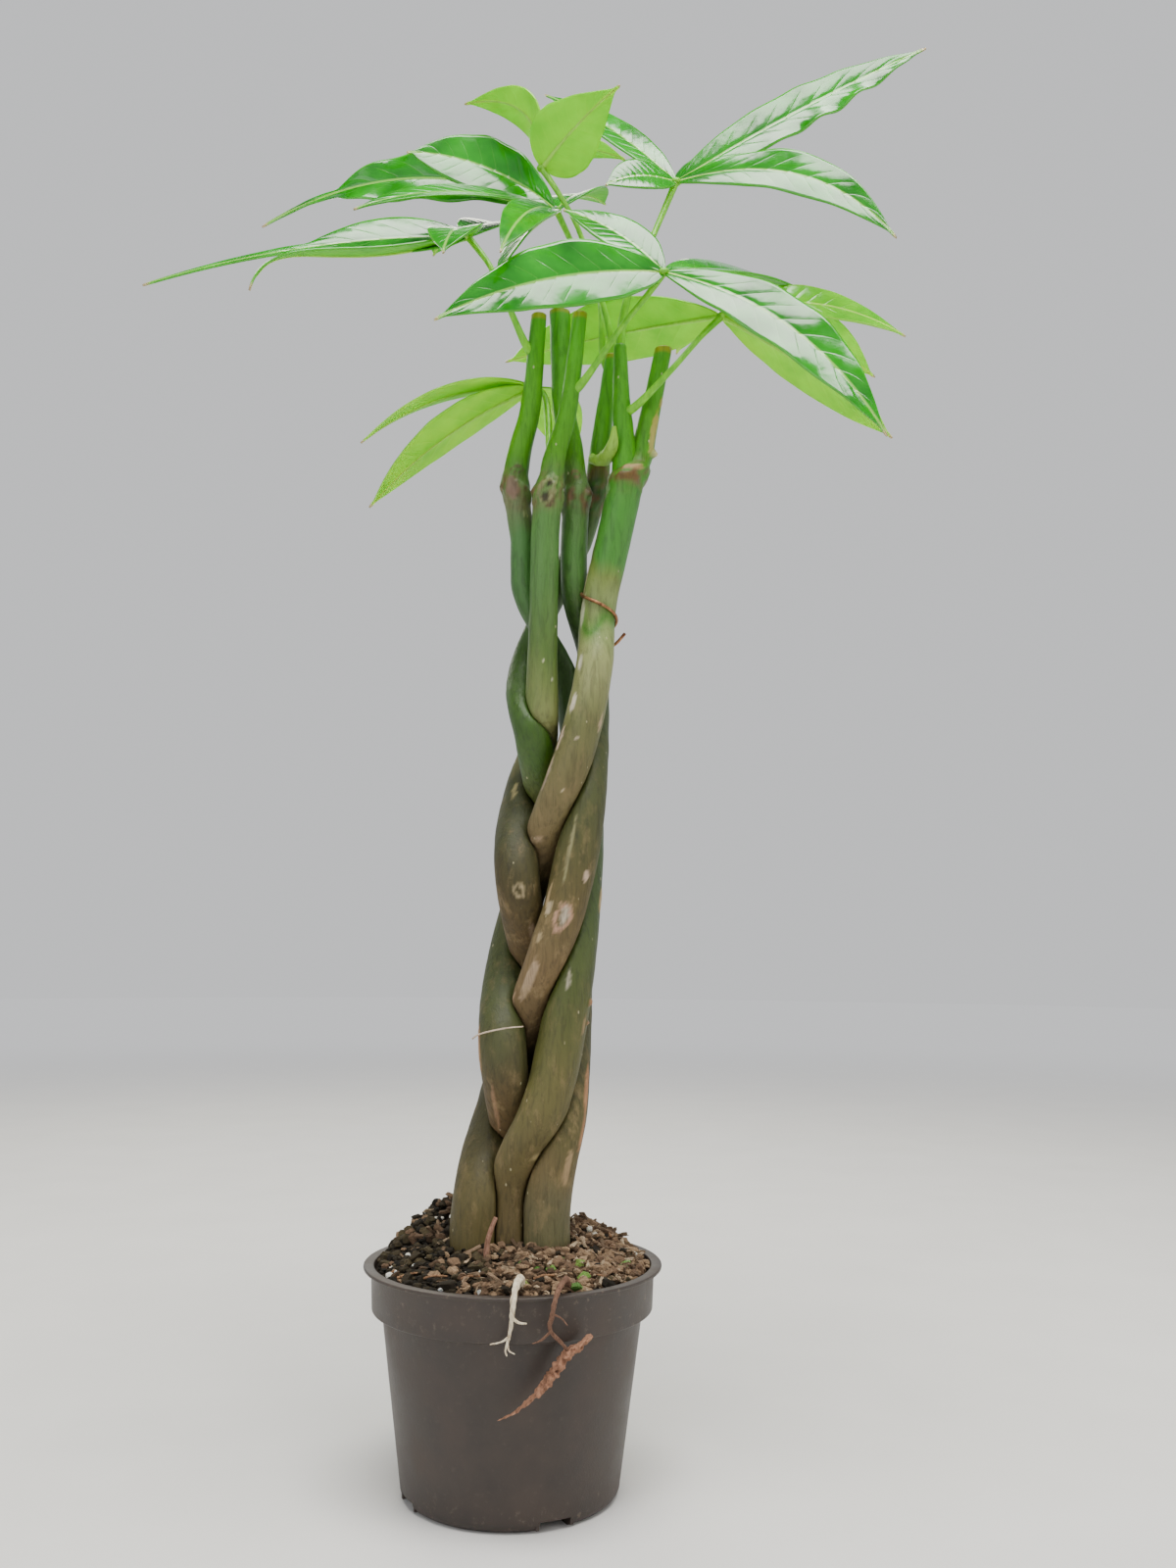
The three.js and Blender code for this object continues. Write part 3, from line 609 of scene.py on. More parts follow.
def make_pot():
    outline = pot_outline()
    shape = bpy.data.meshes.new("pot_outline")
    shape.from_pydata([(r * MM, 0, z * MM) for r, z in outline],
                      [(i, i + 1) for i in range(len(outline) - 1)], [])
    pot = added("nursery_pot_moulding", shape)
    pick(pot)
    in_edit_mode(lambda: bpy.ops.mesh.spin(steps=POT_STEPS, angle=2 * pi, center=(0, 0, 0), axis=(0, 0, 1)),
                 close_seams)
    roof = DRAIN_HEIGHT + POT_WALL
    outside = LIP_RADIUS
    for i in range(DRAIN_COUNT):
        turn = 360 * i / DRAIN_COUNT
        angle = DRAIN_ANGLE + turn
        cover = block(angle, DRAIN_INNER_RADIUS - POT_WALL, WALL_BOTTOM_RADIUS - 0.9,
                      DRAIN_WIDTH + 2 * POT_WALL, 0.3, roof)
        cut(pot, cover, "UNION")
        cut(pot, block(angle, DRAIN_INNER_RADIUS, outside, DRAIN_WIDTH, -1, DRAIN_HEIGHT))
        cut(pot, block(angle, DRAIN_INNER_RADIUS + 2, DRAIN_HOLE_END, DRAIN_WIDTH / 2, 0, roof + 1))
        cut(pot, block(RECESS_ANGLE + turn, FOOT_RADIUS + 0.4, outside, RECESS_WIDTH, -1, RECESS_HEIGHT))
    pick(pot)
    bpy.ops.object.shade_smooth_by_angle(angle=radians(SHARP_EDGE))
    finish_piece(pot, "nursery_pot", "pot", pot_plastic())


# Stems. Tones run down each stem as height and colour; marks are height, turn from the front (to the right),
# height and width of the mark, its colour, how far it stands out and whether only its edge is coloured.
STEMS = [
    {
        "name": "stem_left", "phase": 216, "foot": (-1.5, -4), "top_radius": 4.7, "end": 364,
        "top": [(0.5, -2.5, 316), (0, -3, 338), (-4, -3, 364)],
        "shoot": [(-4, -3, 358), (-1.5, -2.5, 374), (1.8, -2, 388), (4.8, -2, 426.5)],
        "shoot_radii": (5, 4.2, 3.4, 2.9), "slot": "green_bark",
        "tones": [(88, "6b5f45"), (110, "71674a"), (140, "6a6842"), (170, "525e30"), (200, "435a28"),
                  (230, "3d5826"), (262, "3c5c26"), (290, "37602a"), (335, "3f6e30"), (352, "6a7048"),
                  (364, "4c7a32"), (376, "55902e"), (426, "4a9428")],
        "age": [(88, 0.9), (140, 0.6), (180, 0.15), (300, 0.0), (426, 0.0)],
        "marks": [(205, 75, 9, 3, "b09a70", 0.3, False), (176.7, -5, 7, 1.6, "a9a38c", 0.1, False),
                  (168.9, 72, 2.4, 2.2, "a87a5c", 1.0, False), (161.7, 74, 2.2, 2, "a87a5c", 0.9, False),
                  (161, 60, 8, 2.2, "8a7450", 0.15, False), (116, 30, 3, 3, "9c8c60", 0.1, False),
                  (357, -8, 9, 5.5, "7a6250", 0.3, False), (364, 10, 3, 5, "5c4a34", 0.7, True),
                  (347, 30, 2.4, 2, "9aa06a", 0.5, True)],
    },
    {
        "name": "stem_front", "phase": 72, "foot": (8, 11), "top_radius": 5.2, "end": 361,
        "joins": (250, 272),
        "top": [(8.3, -11, 316), (8.5, -11.5, 338), (9.8, -10.5, 361)],
        "shoot": [(9.8, -10.5, 355), (11.5, -9.5, 368), (16, -8, 385), (20.5, -6, 425.5)],
        "shoot_radii": (4.8, 3.8, 3, 2.7), "slot": "old_bark",
        "tones": [(88, "5c5640"), (190, "66543c"), (205, "544a2c"), (225, "42462a"), (250, "464e2c"),
                  (268, "909a70"), (280, "748a54"), (296, "587c3c"), (318, "4a7434"), (340, "46742e"),
                  (350, "5e7c3c"), (360, "4f7a30"), (372, "579430"), (426, "4c9a2a")],
        "age": [(88, 0.9), (200, 0.8), (250, 0.35), (280, 0.2), (320, 0.0), (426, 0.0)],
        "marks": [(207.8, 2, 5, 4.4, "a89874", 0.35, True), (245, -25, 7, 2.2, "9c9060", 0.15, False),
                  (192, 20, 10, 3, "84705a", 0.2, False), (353.5, -4, 8.5, 7.5, "8a8a5c", 1.1, True),
                  (357.5, 12, 4.5, 5, "84965a", 1.3, True), (351, -8, 3.4, 2.8, "2e2418", -0.7, False),
                  (355.5, 6, 2.2, 2, "32281c", -0.6, False), (347.5, 8, 2, 2.6, "5c4630", -0.3, False),
                  (290, 5, 1.2, 1, "c9cba0", 0.1, False), (284, 40, 1, 1, "d6d8b8", 0.1, False)],
    },
    {
        "name": "stem_centre", "phase": 288, "foot": (-12.5, -6), "top_radius": 5, "end": 363,
        "top": [(19.2, -1.5, 316), (19, 0, 338), (19.8, 1.5, 363)],
        "shoot": [(19.8, 1.5, 357), (17.5, 3, 376), (14.6, 4.5, 392), (12.4, 8, 432.5)],
        "shoot_radii": (4.8, 4.4, 4.1, 4), "slot": "old_bark",
        "tones": [(88, "68603e"), (108, "5e583a"), (125, "4a482a"), (145, "44442a"), (160, "6a5a48"),
                  (176, "84705a"), (190, "766850"), (205, "6a6042"), (220, "5a5a38"), (240, "4c542e"),
                  (262, "48562c"), (285, "425c2e"), (300, "42642e"), (335, "467430"), (352, "52783a"),
                  (363, "5a7a40"), (374, "5a9634"), (432, "4c9a2a")],
        "age": [(88, 0.6), (140, 0.5), (165, 1.0), (205, 0.9), (240, 0.35), (290, 0.1), (432, 0.0)],
        "marks": [(213, 40, 4.2, 2.8, "c0a890", 0.3, False), (198.5, 5, 11, 6.6, "bc947a", 0.5, True),
                  (199.5, 8, 7, 2.6, "b4a894", 0.1, False), (201.9, -40, 6, 2.6, "b0a080", 0.2, False),
                  (191.6, -42, 4, 2.2, "a89672", 0.2, False), (206, -52, 10, 1.6, "ac946c", 0.15, False),
                  (177, -28, 15, 4.4, "a28c70", 0.15, False), (168, -62, 9, 1.8, "b49478", 0.3, False),
                  (222, -18, 24, 1.5, "8a865e", 0.1, False), (364.2, 5, 3, 4, "7a6248", 0.5, True),
                  (357, 55, 3, 3, "5c4630", 1.1, False)],
    },
    {
        "name": "stem_right", "phase": 0, "foot": (-7, 11), "top_radius": 6.6, "end": 370,
        "top": [(28.7, -5, 316), (33.7, -5.5, 338), (40.2, -4, 370)],
        "shoot": [(42, -3.5, 360), (44.8, -2, 376), (47.5, -1, 390), (52.3, 0, 414.5)],
        "shoot_radii": (4.8, 4.2, 3.6, 3.2), "slot": "old_bark",
        "tones": [(88, "5a4c38"), (118, "725a42"), (135, "685a42"), (150, "525438"), (170, "4a5630"),
                  (192, "465228"), (208, "62583e"), (216, "7c6c58"), (230, "84765e"), (248, "767254"),
                  (268, "6e7450"), (284, "a2ac88"), (296, "a4b286"), (302, "8aa468"), (306, "4c8a26"),
                  (314, "86985e"), (326, "74863e"), (334, "42802a"), (350, "3c7e24"), (366, "4a8a2a"),
                  (384, "52902e"), (414, "4c922c")],
        "age": [(88, 0.9), (130, 0.9), (160, 0.4), (200, 0.5), (230, 0.7), (270, 0.4), (300, 0.1),
                (330, 0.0), (414, 0.1)],
        "marks": [(153, -70, 17, 2.2, "ac8662", 0.3, False), (132, -35, 18, 1.8, "8e6e50", 0.2, False),
                  (262, -58, 10, 2, "c0a894", 0.2, False), (250, -62, 12, 1.6, "b09a88", 0.2, False),
                  (275, -45, 7, 2.6, "d0c6b0", 0.1, False), (290, -50, 6, 2.4, "d2ccb4", 0.1, False),
                  (268, 62, 7, 1.6, "b49e80", 0.1, False), (226, -20, 2, 6, "9a8468", 0.3, True),
                  (243, 5, 1.6, 1.2, "beae8c", 0.2, False), (262, -4, 1.4, 1, "bcac90", 0.1, False),
                  (360.8, 0, 3.4, 10, "6a4026", 0.5, False), (364.5, 4, 2.2, 9, "b4946a", 0.7, False),
                  (380, 45, 18, 3.4, "b0a06e", 0.3, False), (371.5, 68, 3, 3, "cbbf95", 1.8, False),
                  (392, 62, 5, 2, "b9a878", 0.3, False), (310, -60, 12, 3, "c6c8a4", 0.1, False),
                  (330, -75, 22, 3, "5c6a34", 0.1, False), (322, -78, 16, 2, "c0b88a", 0.2, False)],
    },
    {
        "name": "stem_back", "phase": 144, "foot": (10.5, -5.5), "top_radius": 5.2, "end": 366,
        "joins": (260, 320),
        "top": [(9, 11, 316), (20, 12, 340), (28, 11, 366)],
        "shoot": [(27, 11, 360), (28.5, 10.5, 376), (30, 10, 392), (32.7, 10, 416)],
        "shoot_radii": (4.8, 4.1, 3.1, 2.3), "slot": "green_bark",
        "tones": [(88, "6c6c56"), (100, "767260"), (112, "786c52"), (128, "625e3e"), (145, "4e5030"),
                  (165, "484c2a"), (200, "48522a"), (240, "64703e"), (256, "406a1c"), (290, "365e14"),
                  (316, "365a14"), (346, "3c601e"), (357, "3c5c2a"), (363, "6a5a3c"), (372, "55942e"),
                  (416, "4c9a2a")],
        "age": [(88, 0.7), (125, 0.9), (150, 0.5), (200, 0.3), (245, 0.1), (300, 0.0), (416, 0.0)],
        "marks": [(138, 62, 16, 2.6, "ac7c58", 0.3, False), (123, 66, 14, 2.4, "a07452", 0.3, False),
                  (112, 40, 14, 3.2, "9c8460", 0.1, False), (356, -10, 7, 4, "7c5c44", 0.4, True)],
    },
]
INNER_SHOOT = [(37.5, -4.5, 358), (37.4, -4, 376), (36.4, -3.5, 390), (35.8, -2, 414)]
CURLED_BUD = [(26, 9.5, 375), (25.8, 3, 371.5), (30, -1.5, 370.5), (33, -9.5, 373), (33.6, -12, 379)]


def plait_point(phase, z):
    drop = PLAIT_TOP - z
    steps = ((PLAIT_STEP ** 2 + 4 * PLAIT_STEP_GROWTH * drop) ** 0.5 - PLAIT_STEP) / (2 * PLAIT_STEP_GROWTH)
    angle = radians(phase + STEM_TURN * steps)
    middle = PLAIT_FOOT_X + PLAIT_LEAN * (z - SOIL_LINE)
    back = sum(wave * sin((i + 1) * angle) for i, wave in enumerate(PLAIT_DEPTH_WAVES))
    swing = sum(wave * cos((i + 1) * angle) for i, wave in enumerate(PLAIT_WIDTH_WAVES))
    return np.array([middle + swing, back + PLAIT_DEPTH_OFFSET * cos(angle)])


def stem_centre(stem, z):
    plaited = plait_point(stem["phase"], min(z, JOINS[1]))
    plaited = blend(plaited, stem["foot"], 1 - smooth_step(z, SOIL_LINE, SOIL_LINE + FOOT_REACH))
    heights = [point[2] for point in stem["top"]]
    aim = []
    for axis in (0, 1):
        values = [point[axis] for point in stem["top"]]
        low = values[0] + (values[1] - values[0]) / (heights[1] - heights[0]) * (z - heights[0])
        aim.append(low if z < heights[0] else np.interp(z, heights, values))
    return blend(plaited, aim, smooth_step(z, *stem.get("joins", JOINS)))


def stem_radius(stem, z):
    base = blend(STEM_FOOT_RADIUS, STEM_MIDDLE_RADIUS, smooth_step(z, SOIL_LINE, STEM_FOOT_TOP))
    callus = CALLUS_SWELLING * np.exp(-(((z - stem["end"] + 6) / 4) ** 2))
    return blend(base, stem["top_radius"], smooth_step(z, *STEM_TAPER)) + callus


def shoot_line(stem):
    """The shoot's centre and radius at each height."""
    radii = stem["shoot_radii"]
    radius = np.interp(np.linspace(0, 1, SHOOT_POINTS), np.linspace(0, 1, len(radii)), radii)
    return spline(stem["shoot"], SHOOT_POINTS), radius


def stem_ring(stem, line, radius, z, angles):
    """A level section and its centre: round, flattened where it presses on a neighbour."""
    to_shoot = float(smooth_step(z, stem["end"] - 9, stem["end"] + 1))
    shoot_centre = [np.interp(z, line[:, 2], line[:, axis]) for axis in (0, 1)]
    centre = blend(stem_centre(stem, min(z, stem["end"])), shoot_centre, to_shoot)
    reach = float(blend(stem_radius(stem, z), np.interp(z, line[:, 2], radius), to_shoot))
    squeeze = np.full(len(angles), reach ** -PRESSING)
    for other in STEMS:
        if other is stem or z > min(other["end"], stem["end"]) - FREE_TOP:
            continue
        offset = stem_centre(other, z) - stem_centre(stem, z)
        own = stem_radius(stem, z)
        wall = hypot(*offset) * own / (own + stem_radius(other, z)) - STEM_GAP
        squeeze += np.maximum(0, np.cos(angles - atan2(offset[1], offset[0])) / wall) ** PRESSING
    reach = squeeze ** (-1 / PRESSING)
    return np.stack([centre[0] + reach * np.cos(angles), centre[1] + reach * np.sin(angles),
                     np.full(len(angles), z)], axis=1), centre


def stem_skin(stem):
    """Rings up the stem, with its tone, age and marks painted and raised point by point."""
    angles = np.linspace(pi / 2, pi / 2 + 2 * pi, STEM_SIDES, endpoint=False)
    line, radius = shoot_line(stem)
    top = stem["shoot"][-1][2]
    heights = np.r_[np.arange(STEM_START, top - 1.2, STEM_ROW), top - 0.7, top - 0.25]
    rings, centres = zip(*[stem_ring(stem, line, radius, z, angles) for z in heights])
    rings, centres = np.array(rings), np.array([[*c, z] for c, z in zip(centres, heights)])
    outward = rings - centres[:, None]
    reach = np.linalg.norm(outward, axis=2, keepdims=True)
    outward = outward / reach

    rough = 0.12 * grain(rings, 9, 1) + 0.1 * grain(rings * [1, 1, 0.4], 2.6, 2)
    knobby = np.exp(-(((heights - stem["end"] + 7) / 6.5) ** 2))[:, None]
    rough = rough + knobby * (0.9 * grain(rings, 3.4, 3) + 0.45 * grain(rings, 1.5, 4) + 0.15)

    levels = np.array([colour(code)[:3] for _, code in stem["tones"]])
    tone_heights = [height for height, _ in stem["tones"]]
    wander = heights[:, None] + 9 * grain(rings * [1, 1, 0.3], 7, 5)
    tone = np.stack([np.interp(wander, tone_heights, levels[:, i]) for i in range(3)], axis=2)
    tone = tone * blend(np.array(OLD_SKIN_SHADE), 1.0, smooth_step(heights, *OLD_SKIN_TOP)[:, None, None])
    age = np.interp(wander, *zip(*stem["age"]))
    woody = np.clip(knobby * 1.3 * (0.2 + 1.3 * grain(rings, 3.0, 6)), 0, 1)[..., None]
    tone = blend(tone, np.array(colour("6a5238")[:3]), woody)

    front = (angles + pi / 2 + pi) % (2 * pi) - pi
    for height, turn, tall, wide, code, raised, edge_only in stem["marks"]:
        across = ((front - radians(turn) + pi) % (2 * pi) - pi)[None] * reach[..., 0]
        distance = np.hypot((heights[:, None] - height) / (tall / 2), across / (wide / 2))
        distance = distance + 0.3 * grain(rings, 1.3, 8)
        inside = 1 - smooth_step(distance, 0.8, 1.1)
        edge = inside * smooth_step(distance, 0.4, 0.75)
        cover = edge if edge_only else inside
        tone = blend(tone, np.array(colour(code)[:3]), 0.85 * cover[..., None])
        rough = rough + raised * cover

    rings = rings + outward * rough[..., None]
    cut_face = blend(colour("8f7a4a")[:3], colour("b9b06a")[:3], 0.5)
    rims = [(0.86, 0.1), (0.72, -0.45), (0.0, -0.35)]
    last, middle = rings[-1], centres[-1]
    extra = [middle + (last - middle) * scale + [0, 0, top - heights[-1] + drop] for scale, drop in rims]
    first = np.tile(centres[0], (1, STEM_SIDES, 1))
    rings = np.concatenate([first, rings, np.array(extra)])
    tone = np.concatenate([tone[:1], tone, np.full((len(rims), STEM_SIDES, 3), cut_face)])
    tone[-6:-2] = blend(tone[-6:-2], np.array(colour("a08a50")[:3]), 0.6)
    age = np.concatenate([age[:1], age, np.repeat(age[-1:], len(rims), axis=0)])
    return rolled(stem["name"] + "_skin", rings, {"tone": tone, "age": age})


def green_rod(name, points, radii, code, **options):
    """A small green shoot in the stem's finish."""
    piece = tube(name, points, radii, **options)
    count = len(piece.data.vertices)
    add_values(piece, {"tone": np.tile(colour(code)[:3], (count, 1)), "age": np.zeros(count)})
    return piece


def make_stems():
    skin = bark()
    for stem in STEMS:
        parts = [stem_skin(stem)]
        if stem["name"] == "stem_right":
            parts.append(green_rod("inner_shoot", INNER_SHOOT, (5.0, 4.1, 3.2, 2.4), "4f962a",
                                   rows=50, sides=32, rough=0.03))
        if stem["name"] == "stem_back":
            parts.append(green_rod("curled_bud", CURLED_BUD, (1.6, 1.6, 2.9, 2.3, 0.8), "98bf62",
                                   rows=40, sides=24, rough=0.1, rough_size=2.4))
        piece = joined(stem["name"] + "_bark", parts)
        finish_piece(piece, stem["name"], stem["slot"], skin)


# Wire tie: once round the right stem, falling a little with each degree, and off to its cut end
WIRE_RADIUS = 0.6
TIE_TURNS = range(120, 481, 30)
TIE_HEIGHT = 321
TIE_FALL = 0.055
TIE_END = [(24, -1.5, 299), (30, -3, 297), (34.5, -4.5, 299), (38, -6.5, 302.5)]


def make_wire():
    stem = next(stem for stem in STEMS if stem["name"] == "stem_right")
    points = []
    for degrees in TIE_TURNS:
        angle = radians(degrees)
        z = TIE_HEIGHT - TIE_FALL * (degrees - TIE_TURNS[0])
        reach = stem_radius(stem, z) + WIRE_RADIUS
        x, y = stem_centre(stem, z)
        points.append((x + reach * cos(angle), y + reach * sin(angle), z))
    wire = tube("copper_tie", points + TIE_END, (WIRE_RADIUS, WIRE_RADIUS), rows=120)
    finish_piece(wire, "wire_tie", "copper_wire", wire_copper())


# Leaves: a petiole from its shoot to the hub, and leaflets as tip, width, arch, roll, ruffle and its waves.
# Where they differ from the usual: twist adds to the roll towards the tip, tail is the share of the length
# that is drawn out, widest is where the blade is widest, a peak above 1 moves the top of the arch to the tip,
# and ruffled puts most of the waves on one side.
LEAVES = [
    {
        "name": "leaf_upper_right", "young": False,
        "petiole": [(35.8, -2, 412), (36.6, -2.5, 424), (39.2, -3, 436), (48.2, 10, 463.6), (58, 18, 491.5)],
        "radii": (1.9, 1.4, 1.2, 1.2, 1.5),
        "leaflets": [((155.5, 5, 540.5), 22, 2, 72, 1.3, 6, {"ruffled": 1}),
                     ((138.2, -15, 451.6), 20, 14, 72, 0.5, 3), ((29.7, 4, 482), 18, 3, -62, 0, 0),
                     ((3.7, 60, 554.5), 16, 3, -40, 0, 0), ((96.9, 72, 543), 16, 2, 5, 0, 0)],
    },
    {
        "name": "leaf_centre", "young": False,
        "petiole": [(17.2, -7.5, 393), (21, -9.5, 396), (36, -18, 415), (46, -23, 426), (51, -26, 432)],
        "radii": (1.8, 1.3, 1.1, 1.1, 1.4),
        "leaflets": [((-30, -45, 404.5), 27, 6, -78, 0.4, 4, {"widest": 0.4}),
                     ((123.7, -60, 358.7), 22, 10, 62, 0.6, 4), ((116, 36, 450), 24, 6, 30, 0, 0),
                     ((13.9, -12, 463), 20, 3, -50, 0, 0)],
    },
    {
        "name": "leaf_lower_right", "young": True,
        "petiole": [(37, -3.8, 387), (41, -6.5, 388.6), (54.5, -9, 402), (66, -5, 417), (74.5, 0, 427.5)],
        "radii": (1.8, 1.3, 1.1, 1.1, 1.4),
        "leaflets": [((-11.6, 60, 434), 29, 2, 32, 0, 0), ((136, -12, 375.6), 28, 3, -25, 0, 0),
                     ((142, 45, 422.5), 26, 6, -20, 0, 0), ((149, 20, 429), 19, 9, 62, 0, 0),
                     ((62, 78, 446), 24, 7, 0, 0, 0)],
    },
    {
        "name": "leaf_upper_left", "young": False,
        "petiole": [(32, 10, 408), (29.4, 12.5, 417), (28.6, 13.5, 436), (26, 26, 454), (18, 28, 468),
                    (10.5, 16, 478)],
        "radii": (1.8, 1.3, 1.1, 1.1, 1.1, 1.4),
        "leaflets": [((-48.3, 8, 497.2), 27, 6, -80, 0.3, 4, {"widest": 0.5}),
                     ((-62.8, -24, 456), 15, 7, -40, 0, 0),
                     ((-110.4, 34, 479.5), 23, 17, -80, 1.1, 5, {"tail": 0.25, "widest": 0.6}),
                     ((30.4, 66, 508), 22, 5, 0, 0, 0), ((-7, -50, 427), 16, 6, -25, 0, 0),
                     ((-9, -38, 424), 16, 3, 25, 0, 0)],
    },
    {
        "name": "leaf_far_left", "young": False,
        "petiole": [(3.6, -2, 409.5), (0.6, -3.4, 413), (-6, -3.4, 427.5), (-14.3, -2, 446), (-23, 0, 458.5)],
        "radii": (1.8, 1.3, 1.1, 1.1, 1.4),
        "leaflets": [((-142.8, -12, 432), 26, 5, -56, 0, 0, {"twist": 8, "tail": 0.48, "widest": 0.42}),
                     ((-96.3, -38, 418), 22, 8.5, -15, 0, 0, {"peak": 3.5, "tail": 0.08}),
                     ((-43, 58, 480), 24, 6, 0, 0, 0), ((-10, 52, 488), 20, 4, 10, 0, 0),
                     ((-27.7, -42, 430.5), 20, 5, 0, 0, 0)],
    },
    {
        "name": "leaf_young", "young": True,
        "petiole": [(32.7, 10, 414), (32.4, 9, 422), (27.2, 6, 441), (18.6, 0.5, 464), (11.4, -0.5, 476.5),
                    (5, 1, 487)],
        "radii": (1.8, 1.2, 1, 1, 1, 1.3),
        "leaflets": [((34.7, -20, 508), 27, 2, -35, 0, 0, {"widest": 0.3}),
                     ((-26.4, 12, 520), 18, 12, 35, 0, 0), ((37.7, 16, 499.4), 11, 6, -20, 0, 0)],
    },
    {
        "name": "leaf_lower_left", "young": True,
        "petiole": [(10.6, -8.5, 368), (9.4, -5, 376), (8.6, 1, 388), (7, 6.5, 398), (2.7, 12, 403.5)],
        "radii": (1.9, 1.4, 1.3, 1.2, 1.4),
        "leaflets": [((-61, -5, 374.5), 22, 7, -3, 0, 0), ((-59.6, 10, 354.4), 26, 5, 12, 0, 0),
                     ((16, 76, 396), 24, 6, 0, 0, 0)],
    },
]
FOLD = radians(8)
PLAIN_TAIL = 0.03
PLAIN_WIDEST = 0.457
RIB_DIP = 0.28
RIB_DEPTH = 0.3
RIB_POINTS = 14
BLADE_FULLNESS = 1.75


def blade_share(u, widest):
    """How wide a blade is along its midrib, as a share of its full width."""
    rise, fall = BLADE_FULLNESS * widest, BLADE_FULLNESS * (1 - widest)
    return (u / widest) ** rise * ((1 - u) / (1 - widest)) ** fall


def half_width(u, width, tail, widest):
    """Half the width along a blade: its broad part, a round foot and a drawn-out tail."""
    broad = width / 2 * blade_share(np.minimum(u / (1 - tail), 1), widest)
    narrow = np.where(u < 0.1, 0.8, smooth_step(u, 0.3, 0.6) * (0.45 + 5.5 * np.minimum(1 - u, tail)))
    return (broad ** 4 + narrow ** 4) ** 0.25 * (1 - 0.6 * smooth_step(u, 0.985, 1))


def make_blade(name, hub, leaflet, seed):
    tip, width, arch, roll, ruffle, waves = leaflet[:6]
    extras = leaflet[6] if len(leaflet) > 6 else {}
    start = np.array(hub, float)
    run = np.array(tip, float) - start
    axis = unit(run)
    up = unit(UP - axis * axis[2])
    side = np.cross(axis, up)
    u = np.linspace(0, 1, BLADE_ROWS + 1)[:, None]
    s = np.linspace(1, -1, BLADE_COLUMNS + 1)[None]
    angle = np.radians(roll + extras.get("twist", 0) * smooth_step(u, 0.3, 0.75))[..., None]
    normal = up * np.cos(angle) + side * np.sin(angle)
    across = np.cross(normal, axis)
    half = half_width(u, width, extras.get("tail", PLAIN_TAIL), extras.get("widest", PLAIN_WIDEST))
    flutter = np.stack([u * 4, np.full_like(u, seed), np.full_like(u, 0.5)], axis=2)
    half = half * (1 + 0.05 * grain(flutter, 0.45, seed))
    reach = np.abs(s) * half
    ruffled = 1.0
    if "ruffled" in extras:
        ruffled = np.where(s * extras["ruffled"] < 0, 1.4, 0.25) * smooth_step(u, 0.2, 0.7)
    wave = ruffled * ruffle * s ** 2 * np.sin(2 * pi * waves * u) * np.sin(pi * u)
    phase = VEIN_PAIRS * (u - VEIN_SLANT * np.abs(s)) + 0.25 * (s < 0)
    near_vein = np.abs((phase + 0.5) % 1 - 0.5)
    shape = near_vein.shape
    own = np.stack([u * len(leaflet) * 5 + 0 * s, s * 2 + 0 * u, np.full(shape, seed)], axis=2)
    uneven = 0.55 + 0.9 * np.clip(grain(own, 0.8, seed) + 0.3, 0, 1)
    quilt = QUILT * uneven * smooth_step(near_vein, 0, 0.3) * np.minimum(1, reach / 3)
    quilt = quilt * (1 - 0.7 * s ** 2) * np.sin(pi * u)
    lift = reach * sin(FOLD) * (1.25 - 0.45 * np.abs(s)) + wave + quilt
    rib_dip = -RIB_DIP * np.exp(-((reach / 0.8) ** 2)) * (1 - u)
    peaked = u ** extras.get("peak", 1)
    droop = 4 * arch * peaked * (1 - peaked)
    points = (start + run * u[..., None] + up * droop[..., None]
              + across * (np.sign(s) * reach * cos(FOLD))[..., None] + normal * (lift + rib_dip)[..., None])
    values = {"vein": phase, "margin": np.broadcast_to(np.abs(s), shape), "reach": reach,
              "along": np.broadcast_to(u, shape)}
    blade = shaped_grid(name, points, values)
    bpy.ops.object.shade_smooth()
    modifier = blade.modifiers.new("thickness", "SOLIDIFY")
    modifier.thickness = BLADE_THICKNESS * MM
    modifier.offset = 0
    modifier.material_offset = 1
    modifier.material_offset_rim = 0
    rows = np.linspace(0, BLADE_ROWS - 3, RIB_POINTS).astype(int)
    midrib = (points[:, BLADE_COLUMNS // 2] - normal[:, 0] * RIB_DEPTH)[rows]
    rib = tube(name + "_rib", midrib, (0.95, 0.65, 0.45, 0.3, 0.15), rows=40, sides=8)
    return blade, rib


def make_leaf(leaf, top, under, stalk_finish, rib_finish):
    hub = leaf["petiole"][-1]
    radii = list(leaf["radii"])
    stalk_piece = tube("petiole", leaf["petiole"], radii, rows=60, sides=16)
    pick_nothing()
    bpy.ops.mesh.primitive_ico_sphere_add(subdivisions=3, radius=(radii[-1] + 0.5) * MM)
    knob = bpy.context.object
    knob.data.transform(Matrix.Translation(Vector(hub) * MM) @ Matrix.Diagonal((1.1, 1.1, 0.8, 1)))
    bpy.ops.object.shade_smooth()
    parts = [stalk_piece, knob]
    for part in parts:
        part.data.materials.append(stalk_finish)
    for i, leaflet in enumerate(leaf["leaflets"]):
        blade, rib = make_blade(f"{leaf['name']}_blade_{i}", hub, leaflet, i + len(leaf["name"]))
        blade.data.materials.append(top)
        blade.data.materials.append(under)
        pick(blade)
        bpy.ops.object.modifier_apply(modifier="thickness")
        rib.data.materials.append(rib_finish)
        parts += [blade, rib]
    piece = joined(leaf["name"] + "_foliage", parts)
    finish_piece(piece, leaf["name"], "young_leaf" if leaf["young"] else "leaf")


